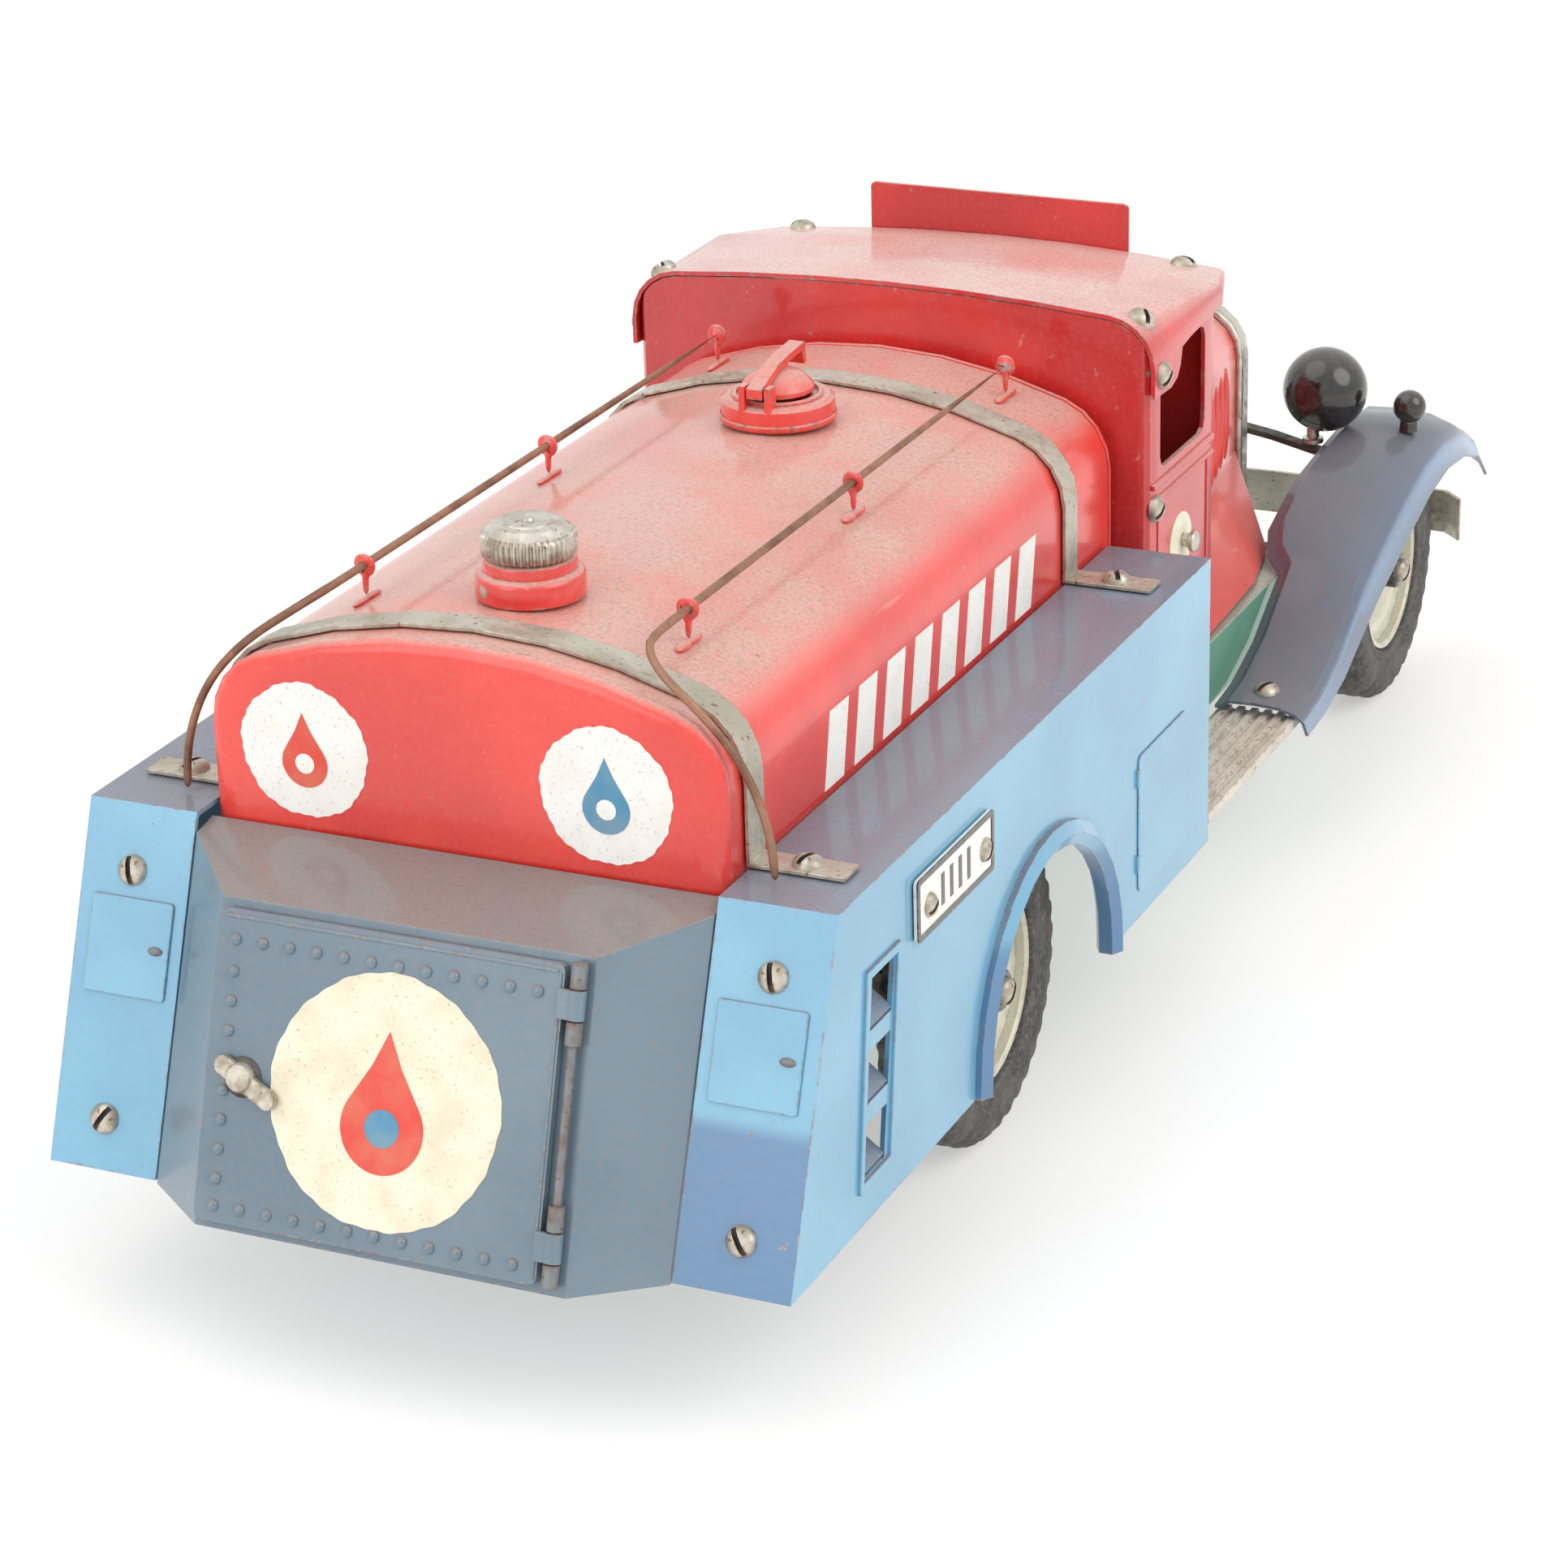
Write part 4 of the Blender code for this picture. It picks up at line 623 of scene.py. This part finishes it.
def make_vent_frame(side, label):
    """A raised border round the three vents, and a sloping ledge in each of them."""
    slope = (BOX_REAR_TOP[0] - BOX_REAR_BOTTOM[0]) / (BOX_REAR_TOP[1] - BOX_REAR_BOTTOM[1])
    rear, front = VENT_TOP_YS
    low_rear, low_front = VENT_BOTTOM_YS
    bottom, top = VENT_ZS
    work = bmesh.new()
    rings = []
    for grow, out in ((0.5, -0.3), (0.5, 0.7), (2.4, 0.7), (2.4, -0.3)):
        ring = []
        for y, z in ((rear - grow, top + grow), (front + grow, top + grow),
                     (low_front + grow, bottom - grow), (low_rear - grow, bottom - grow)):
            ring.append(work.verts.new(spot(side * (BOX_OUTER + out), y, z)))
        rings.append(ring)
    for near, far in zip(rings, rings[1:] + rings[:1]):
        for i in range(4):
            j = (i + 1) % 4
            work.faces.new((near[i], near[j], far[j], far[i]))
    add(f"vent_frame_{label}", to_mesh(f"vent_frame_{label}", work), Matrix.Identity(4), "lorry",
        BLUE, 0.3)
    for row in range(3):
        low = 67.5 - row * 14.4
        y = (rear + front) / 2 - (top - low) * slope * 0.45
        ledge = plate(f"vent_ledge_{label}_{row}", [(-6.2, 0), (6.2, 0), (6.2, 8.0), (-6.2, 8.0)],
                      0.5)
        tilt = sheet_frame(spot(side * (BOX_OUTER - 0.4), y, low + 0.2), (side * 0.6, 0, 0.8),
                           (-side * 0.8, 0, 0.6))
        add(f"vent_ledge_{label}_{row}", ledge, tilt, "lorry", BLUE)


def make_number_plate():
    face = sheet_frame(spot(BOX_OUTER + 1.1, -141.4, 83.1), (1, 0, 0), (0, 0, 1))
    outer = rounded(-19.4, -6.5, 19.4, 6.5, 1.0)
    inner = rounded(-18.2, -5.3, 18.2, 5.3, 0.5)
    work = bmesh.new()
    rings = [[work.verts.new((u * MM, v * MM, w * MM)) for u, v in line]
             for line, w in ((outer, -0.05), (outer, 0.25), (inner, 0.25), (inner, -0.05))]
    count = len(outer)
    for near, far in zip(rings, rings[1:]):
        for i in range(count):
            work.faces.new((near[i], near[(i + 1) % count], far[(i + 1) % count], far[i]))
    add("number_plate_rim", to_mesh("number_plate_rim", work), face, "lorry", BLACK)
    strokes = [((x, 0, 0.06), (1.5, 6.6, 0.14)) for x in (-6.6, -2.2, 2.2, 6.6)]
    add("number_plate_bars", bars("number_plate_bars", strokes), face, "lorry", BLACK)
    for number, (u, v) in enumerate(((-13.3, -0.6), (14.9, -0.6)), 1):
        at = face @ Vector((u * MM, v * MM, 0))
        screw(f"plate_screw_{number}", at, (1, 0, 0), 30 * number, scale=0.8)


# --- tank ---------------------------------------------------------------------------
def make_tank_marks():
    half, high = STRIPE_HALF
    for side, label in SIDES:
        face = sheet_frame(spot(side * TANK_HALF, -88.0, 105.6), (side, 0, 0), (0, 0, 1))
        for number in range(STRIPES):
            u = side * (-50.0 + number * STRIPE_PITCH)
            outline = [(u - half - STRIPE_SLANT, -high), (u + half - STRIPE_SLANT, -high),
                       (u + half + STRIPE_SLANT, high), (u - half + STRIPE_SLANT, high)]
            name = f"tank_stripe_{label}_{number + 1}"
            add(name, plate(name, outline, 0.08), face, "lorry", WHITE)
    left = sheet_frame(spot(-34.0, TANK_REAR - 3.22, 111.0), (0, -1, 0), (0, 0, 1))
    right = sheet_frame(spot(30.6, TANK_REAR - 3.22, 111.0), (0, -1, 0), (0, 0, 1))
    disc_mark("tank_label_left", left, 13.8, "lorry", WHITE, MARK_RED, WHITE)
    disc_mark("tank_label_right", right, 13.8, "lorry", WHITE, MARK_BLUE, WHITE)


def make_fillers():
    neck = [(6.8, 7.6), (8.6, 7.6), (9.1, 7.35), (9.3, 6.9), (9.3, 5.2), (10.1, 4.8), (10.6, 4.4),
            (10.8, 3.8), (10.8, 0.0), (7.7, 0.0), (7.7, -6.0), (6.8, -6.0)]
    base = spot(0, REAR_FILLER_Y, TANK_TOP + 0.3)
    add("rear_neck", lathe("rear_neck", neck, closed=True), aim(base, (0, 0, 1)), "lorry", RED,
        replaces=["filler_neck_rear"])
    cap = [(0, 7.3), (0.9, 7.2), (1.3, 6.65), (4.6, 6.6), (4.9, 6.35), (6.6, 6.35), (7.0, 6.1),
           (7.7, 5.3), (8.6, 4.85), (9.1, 4.3, 1), (9.4, 3.9, 1), (9.4, 0.6, 1), (9.1, 0.2, 1),
           (8.4, 0.0), (6.2, 0.0), (6.2, -3.0), (0, -3.0)]
    top = spot(0, REAR_FILLER_Y, TANK_TOP + 8.2)
    add("knurled_cap", lathe("knurled_cap", cap, teeth=44, depth=0.5), aim(top, (0, 0, 1)),
        "filler_cap", NICKEL, replaces=["filler_cap"])
    chip = domes("neck_chip", [(0, 0)], (1.3, 1.5, 0.25))
    at = spot(-5.4, REAR_FILLER_Y - 9.2, TANK_TOP + 2.6)
    add("neck_chip", chip, aim(at, (-0.5, -0.86, 0)), "lorry", TIN)
    ring = [(8.9, 5.9), (9.6, 5.9), (9.9, 5.6), (9.9, 5.2), (8.9, 5.2)]
    front = spot(0, FRONT_FILLER_Y, TANK_TOP + 0.3)
    add("drum_lip", lathe("drum_lip", ring, closed=True), aim(front, (0, 0, 1)), "lorry", RED)
    rib = [(12.4, 1.6), (12.75, 1.2), (12.75, 0.5), (12.4, 0.1)]
    add("drum_rib", lathe("drum_rib", rib, closed=True), aim(front, (0, 0, 1)), "lorry", RED)


def make_eyelet_feet():
    """The spread legs of each split pin, flat on the tank."""
    for side, label in SIDES:
        for number, y in enumerate(EYELET_YS, 1):
            at = spot(side * RAIL_X, y, EYELET_FOOT_Z)
            name = f"eyelet_foot_{label}_{number}"
            add(name, domes(name, [(-2.2, 0), (2.2, 0)], (3.0, 1.1, 0.7)),
                aim(at, (side * 0.27, 0, 0.96)), "lorry", RED)


# --- wheels -------------------------------------------------------------------------
def make_wheel(label, side, track, y, wheel_node, tyre_node, body):
    at = spot(side * track, y, AXLE_Z)
    out = aim(at, (side, 0, 0))
    disc = [(2.1, 2.0), (5.6, 2.0), (6.2, 1.7), (7.4, 0.6), (9.0, 0.5), (10.4, 0.9), (11.2, 0.9),
            (13.2, 0.6), (14.0, 1.1), (14.8, 2.3), (16.6, 2.9), (18.6, 2.9), (19.1, 3.3),
            (19.3, 5.3), (19.8, 5.8), (RIM_RADIUS, 5.8), (RIM_RADIUS, -5.8), (19.4, -5.8),
            (19.2, 1.2), (5.4, -0.8), (5.4, -5.4), (2.1, -5.4)]
    add(f"{label}_disc", lathe(f"{label}_disc", disc, closed=True), out, body, CREAM,
        replaces=[wheel_node])
    half = [(RIM_RADIUS + 0.3, 5.6), (21.6, 6.5), (23.4, 7.0), (24.0, 6.8), (24.6, 7.1),
            (27.6, TYRE_HALF), (30.2, TYRE_HALF, 1), (31.9, 6.9, 1), (33.2, 5.6, 1),
            (33.9, 4.2, 1), (34.0, 3.4), (33.7, 1.2), (34.0, 0.9)]
    mirrored = [(r, -x, *k) for r, x, *k in reversed(half)]
    add(f"{label}_tread", lathe(f"{label}_tread", half + mirrored, teeth=36, depth=0.75,
                                closed=True), out, body, RUBBER, replaces=[tyre_node])
    ring = [(2.0, 2.1), (2.0, 8.6), (3.9, 8.6), (4.5, 8.1), (4.7, 7.6, 1), (4.7, 3.2, 1),
            (4.5, 2.6), (4.2, 2.1)]
    add(f"{label}_hub_ring", lathe(f"{label}_hub_ring", ring, teeth=26, depth=0.35, closed=True),
        out, body, BLACK)
    cap = aim(at + Vector((side * 8.7 * MM, 0, 0)), (side, 0, 0), 50)
    add(f"{label}_hub_screw", SCREW, cap @ Matrix.Scale(1.02, 4), body, NICKEL)


# --- cab, bonnet and lamps ----------------------------------------------------------
def make_cab_details():
    for side, label in SIDES:
        face = sheet_frame(spot(side * CAB_HALF, 40.0, 0), (side, 0, 0), (0, 0, 1))
        lines = [((0, BELT_Z, 0.1), (40.5, 1.3, 1.1)), ((0, BELT_Z - 3.6, 0.1), (40.5, 1.0, 0.9)),
                 ((-16.5, 80.6, 0), (0.8, 48.0, 0.7)), ((16.5, 80.6, 0), (0.8, 48.0, 0.7)),
                 ((0, 57.0, 0), (33.0, 0.8, 0.7))]
        add(f"door_moulding_{label}", bars(f"door_moulding_{label}", lines), face, "lorry",
            DARK_RED, 0.3)
        disc = sheet_frame(spot(side * CAB_HALF, 38.7, 88.9), (side, 0, 0), (0, 0, 1))
        mark = lathe(f"door_disc_{label}", [(0, 0.25), (7.2, 0.25), (7.3, 0.1), (7.3, -0.1),
                                            (0, -0.1)])
        add(f"door_disc_{label}", mark, disc, "lorry", LABEL)
        knob = [(0, 4.2), (1.6, 4.0), (2.5, 3.2), (2.6, 2.4), (1.7, 1.7), (1.5, 0.3), (2.4, 0.0),
                (0, 0.0)]
        add(f"door_knob_{label}", lathe(f"door_knob_{label}", knob, 40),
            disc @ Matrix.Translation((1.2 * MM * side, 0.4 * MM, 0)), "lorry", NICKEL)


def along(table, y):
    """Straight-line reading of a small table of (y, value)."""
    for (y0, v0), (y1, v1) in zip(table, table[1:]):
        if y <= y1:
            return v0 + (v1 - v0) * (y - y0) / (y1 - y0)
    return table[-1][1]


def make_hood_details():
    for side, label in SIDES:
        for number in range(LOUVRES):
            y = LOUVRE_START_Y + number * LOUVRE_PITCH
            lean = (along(HOOD_SIDE, y - 2) - along(HOOD_SIDE, y + 2)) / 4
            face = sheet_frame(spot(side * along(HOOD_SIDE, y), y, LOUVRE_Z), (side, lean, 0),
                               (0, 0, 1))
            name = f"hood_louvre_{label}_{number + 1}"
            add(name, domes(name, [(0, 0)], (1.5, 12.0, 1.1)), face, "lorry", RED)
    for (y0, z0), (y1, z1) in zip(HOOD_RIDGE, HOOD_RIDGE[1:]):
        start = spot(0, y0 + 0.6, z0 + 0.1)
        run = spot(0, y1, z1 + 0.1) - start
        length = run.length / MM
        rod = lathe(f"hood_hinge_{round(y0)}", [(0, 0), (1.0, 0), (1.0, length), (0, length)], 24)
        add(f"hood_hinge_{round(y0)}", rod, aim(start, run), "lorry", RED)


def make_radiator_details():
    low = 59.0
    high = RADIATOR_TOP - 8.0
    wide = RADIATOR_HALF - 5.6
    front = spot(0, RADIATOR_Y + RADIATOR_DEPTH - 3.3, 0)
    face = sheet_frame(front, (0, 1, 0), (0, 0, 1))
    core = [((0, (low + high) / 2, -0.2), (2 * wide, high - low, 0.4))]
    add("radiator_core", bars("radiator_core", core), face, "lorry", DARK)
    fins = [((-wide + 2.2 + i * 2.4, (low + high) / 2, 0.5), (0.7, high - low, 1.2))
            for i in range(24)]
    fins += [((0, low + 3 + i * 5.6, 0.4), (2 * wide, 0.5, 0.9)) for i in range(8)]
    add("radiator_fins", bars("radiator_fins", fins), face, "lorry", TIN)
    cap = [(0, 6.4), (1.6, 6.3), (2.8, 5.8), (3.9, 4.8, 1), (4.2, 4.4, 1), (4.2, 2.5, 1),
           (3.8, 2.2), (2.2, 1.8), (2.2, 0), (0, 0)]
    at = spot(0, RADIATOR_Y + RADIATOR_DEPTH / 2, RADIATOR_TOP + 0.3)
    add("radiator_filler", lathe("radiator_filler", cap, teeth=20, depth=0.3), aim(at, (0, 0, 1)),
        "lorry", NICKEL, replaces=["radiator_cap"])


def make_lamps():
    for side, label in SIDES:
        at = spot(side * LAMP_X, LAMP_Y, LAMP_Z)
        ball = [(LAMP_RADIUS * math.sin(a), -LAMP_RADIUS * math.cos(a))
                for a in (math.radians(5.625 * i) for i in range(1, 24))]
        front = ball[-1][1]
        profile = [(0, -LAMP_RADIUS)] + ball + [(7.6, front + 0.9), (6.8, front + 0.9), (6.6, front),
                                                (0, front - 0.4)]
        add(f"lamp_ball_{label}", lathe(f"lamp_ball_{label}", profile, 72), aim(at, (0, 1, 0)),
            "lorry", BLACK, replaces=[f"headlight_{label}"])
        rim = [(7.5, front + 0.3), (8.0, front + 0.6), (7.9, front + 1.2), (7.2, front + 1.5),
               (6.7, front + 1.2), (6.7, front + 0.4)]
        add(f"lamp_rim_{label}", lathe(f"lamp_rim_{label}", rim, closed=True), aim(at, (0, 1, 0)),
            "lorry", NICKEL)
        lens = [(0, front + 2.0), (3.0, front + 1.8), (5.4, front + 1.4), (6.8, front + 0.9),
                (6.8, front + 0.2), (0, front + 0.4)]
        add(f"lamp_lens_{label}", lathe(f"lamp_lens_{label}", lens, 64), aim(at, (0, 1, 0)),
            "lorry", GLASS)
        stalk = [(0, 8.0), (2.6, 7.6), (3.4, 6.2), (2.6, 4.8), (1.6, 3.9), (1.6, 1.4), (2.7, 1.1),
                 (2.7, 0.0), (0, 0.0)]
        foot = spot(side * STALK_X, LAMP_Y, STALK_FOOT)
        add(f"lamp_stalk_{label}", lathe(f"lamp_stalk_{label}", stalk, 40), aim(foot, (0, 0, 1)),
            "lorry", NICKEL)
        small = spot(side * 75.0, 177.0, 80.8)
        globe = [(0, 4.2)] + [(4.2 * math.sin(a), 4.2 * math.cos(a))
                              for a in (math.radians(10 * i) for i in range(1, 14))]
        globe += [(2.3, -3.6), (2.5, -6.2), (0, -6.2)]
        add(f"side_lamp_ball_{label}", lathe(f"side_lamp_ball_{label}", globe, 48),
            aim(small, (0, 0, 1)), "lorry", BLACK, replaces=[f"side_lamp_{label}"])


# --- the CAD nodes that stay --------------------------------------------------------
def dress_nodes():
    pairs = [[f"{stem}_{label}" for _, label in SIDES]
             for stem in ("side_box", "front_wing", "running_board", "handrail",
                          "steering_knuckle")]
    boxes, wings, boards, rails, knuckles = pairs
    eyelets = [f"eyelet_{label}_{number}" for _, label in SIDES for number in (1, 2, 3)]
    dress(BLUE_RIGHT, 0.45, boxes[0])
    dress(BLUE, 0.45, boxes[1])
    dress(WING, 0.3, *wings)
    dress(BOARD, 0.2, *boards)
    dress(COPPER, 0, *rails, smooth=1)
    dress(RED, 0, *eyelets, smooth=1)
    dress(DARK, 0.3, *knuckles, "front_axle_beam", "rear_axle_bracket", "tie_rod", "lamp_bar")
    dress(SLATE, 0.5, "locker_body")
    dress(SLATE, 0.3, "locker_door")
    dress(HINGE, 0.1, "door_hinge_pin")
    dress(SCREWS, 0.35, "locker_handle", "tap_lever")
    dress(NICKEL, 1.2, "radiator_shell")
    dress(TIN, 0.25, "drain_tap", "rear_axle", "bumper")
    dress(TIN, 0.2, "tank_strap_rear", "tank_strap_front")
    dress(RED, 0.3, "tank_shell", "tank_end_rear", "tank_end_front", "filler_drum_front",
          "filler_lid", "hood")
    dress(DARK_RED, 0.4, "cab_body", "cab_roof")
    dress(DARK_RED, 0.25, "roof_sign")
    dress(GREEN, 0.4, "chassis_frame", "tank_bed", "cab_seat")
    dress(BLACK, 0.3, "steering_wheel")
    dress(WHITE, 0.2, "number_plate")


# --- stage --------------------------------------------------------------------------
def make_floor():
    work = bmesh.new()
    bmesh.ops.create_grid(work, x_segments=1, y_segments=1, size=8.0)
    floor = bpy.data.objects.new("floor", to_mesh("floor", work))
    bpy.context.scene.collection.objects.link(floor)
    material = bpy.data.materials.new("white_table")
    material.use_nodes = True
    shader = material.node_tree.nodes["Principled BSDF"]
    shader.inputs["Base Color"].default_value = (0.52, 0.515, 0.51, 1)
    shader.inputs["Emission Color"].default_value = (1, 0.995, 0.985, 1)
    shader.inputs["Emission Strength"].default_value = 0.46
    shader.inputs["Roughness"].default_value = 0.6
    shader.inputs["Specular IOR Level"].default_value = 0.2
    floor.data.materials.append(material)


def area_light(name, at, size, power):
    data = bpy.data.lights.new(name, "AREA")
    data.shape = "DISK"
    data.size = size
    data.energy = power
    light = bpy.data.objects.new(name, data)
    light.matrix_world = aim(Vector(at), Vector(at) - Vector((0, 0, 0.08)))
    bpy.context.scene.collection.objects.link(light)


def make_light():
    world = bpy.data.worlds.new("white_room")
    world.use_nodes = True
    background = world.node_tree.nodes["Background"]
    background.inputs["Color"].default_value = (1, 1, 1, 1)
    background.inputs["Strength"].default_value = 0.98
    bpy.context.scene.world = world
    area_light("key_light", (1.7, -0.1, 1.5), 1.8, 17)
    area_light("top_light", (-0.7, -0.5, 2.0), 2.0, 8)
    area_light("back_light", (-0.9, -2.1, 1.1), 1.6, 11)
    bpy.context.scene.view_settings.view_transform = "Standard"


CAMERA_AT = (0.3863, -0.8733, 0.4343)
CAMERA_TURN = 0.434            # radians from +Y towards -X
CAMERA_DOWN = 0.394
CAMERA_ROLL = 0.028
CAMERA_LENS = 103.35
SENSOR_WIDTH = 36.0


def make_camera():
    data = bpy.data.cameras.new("camera")
    data.lens = CAMERA_LENS
    data.sensor_width = SENSOR_WIDTH
    data.clip_start = 0.01
    camera = bpy.data.objects.new("camera", data)
    turn = Matrix.Rotation(CAMERA_TURN, 4, "Z")
    tilt = Matrix.Rotation(math.pi / 2 - CAMERA_DOWN, 4, "X")
    roll = Matrix.Rotation(-CAMERA_ROLL, 4, "Z")
    camera.matrix_world = Matrix.Translation(CAMERA_AT) @ turn @ tilt @ roll
    bpy.context.scene.collection.objects.link(camera)
    bpy.context.scene.camera = camera


def build():
    make_camera()
    make_light()
    make_floor()
    dress_nodes()
    make_screws()
    make_door_details()
    make_box_details()
    make_number_plate()
    make_tank_marks()
    make_fillers()
    make_eyelet_feet()
    for side, label in SIDES:
        make_wheel(f"rear_{label}", side, REAR_TRACK, REAR_AXLE_Y, f"rear_wheel_{label}",
                   f"rear_tyre_{label}", "rear_axle_set")
        make_wheel(f"front_{label}", side, FRONT_TRACK, FRONT_AXLE_Y, f"front_wheel_{label}",
                   f"front_tyre_{label}", f"wheel_front_{label}")
    make_cab_details()
    make_hood_details()
    make_radiator_details()
    make_lamps()


build()
bpy.context.view_layer.update()
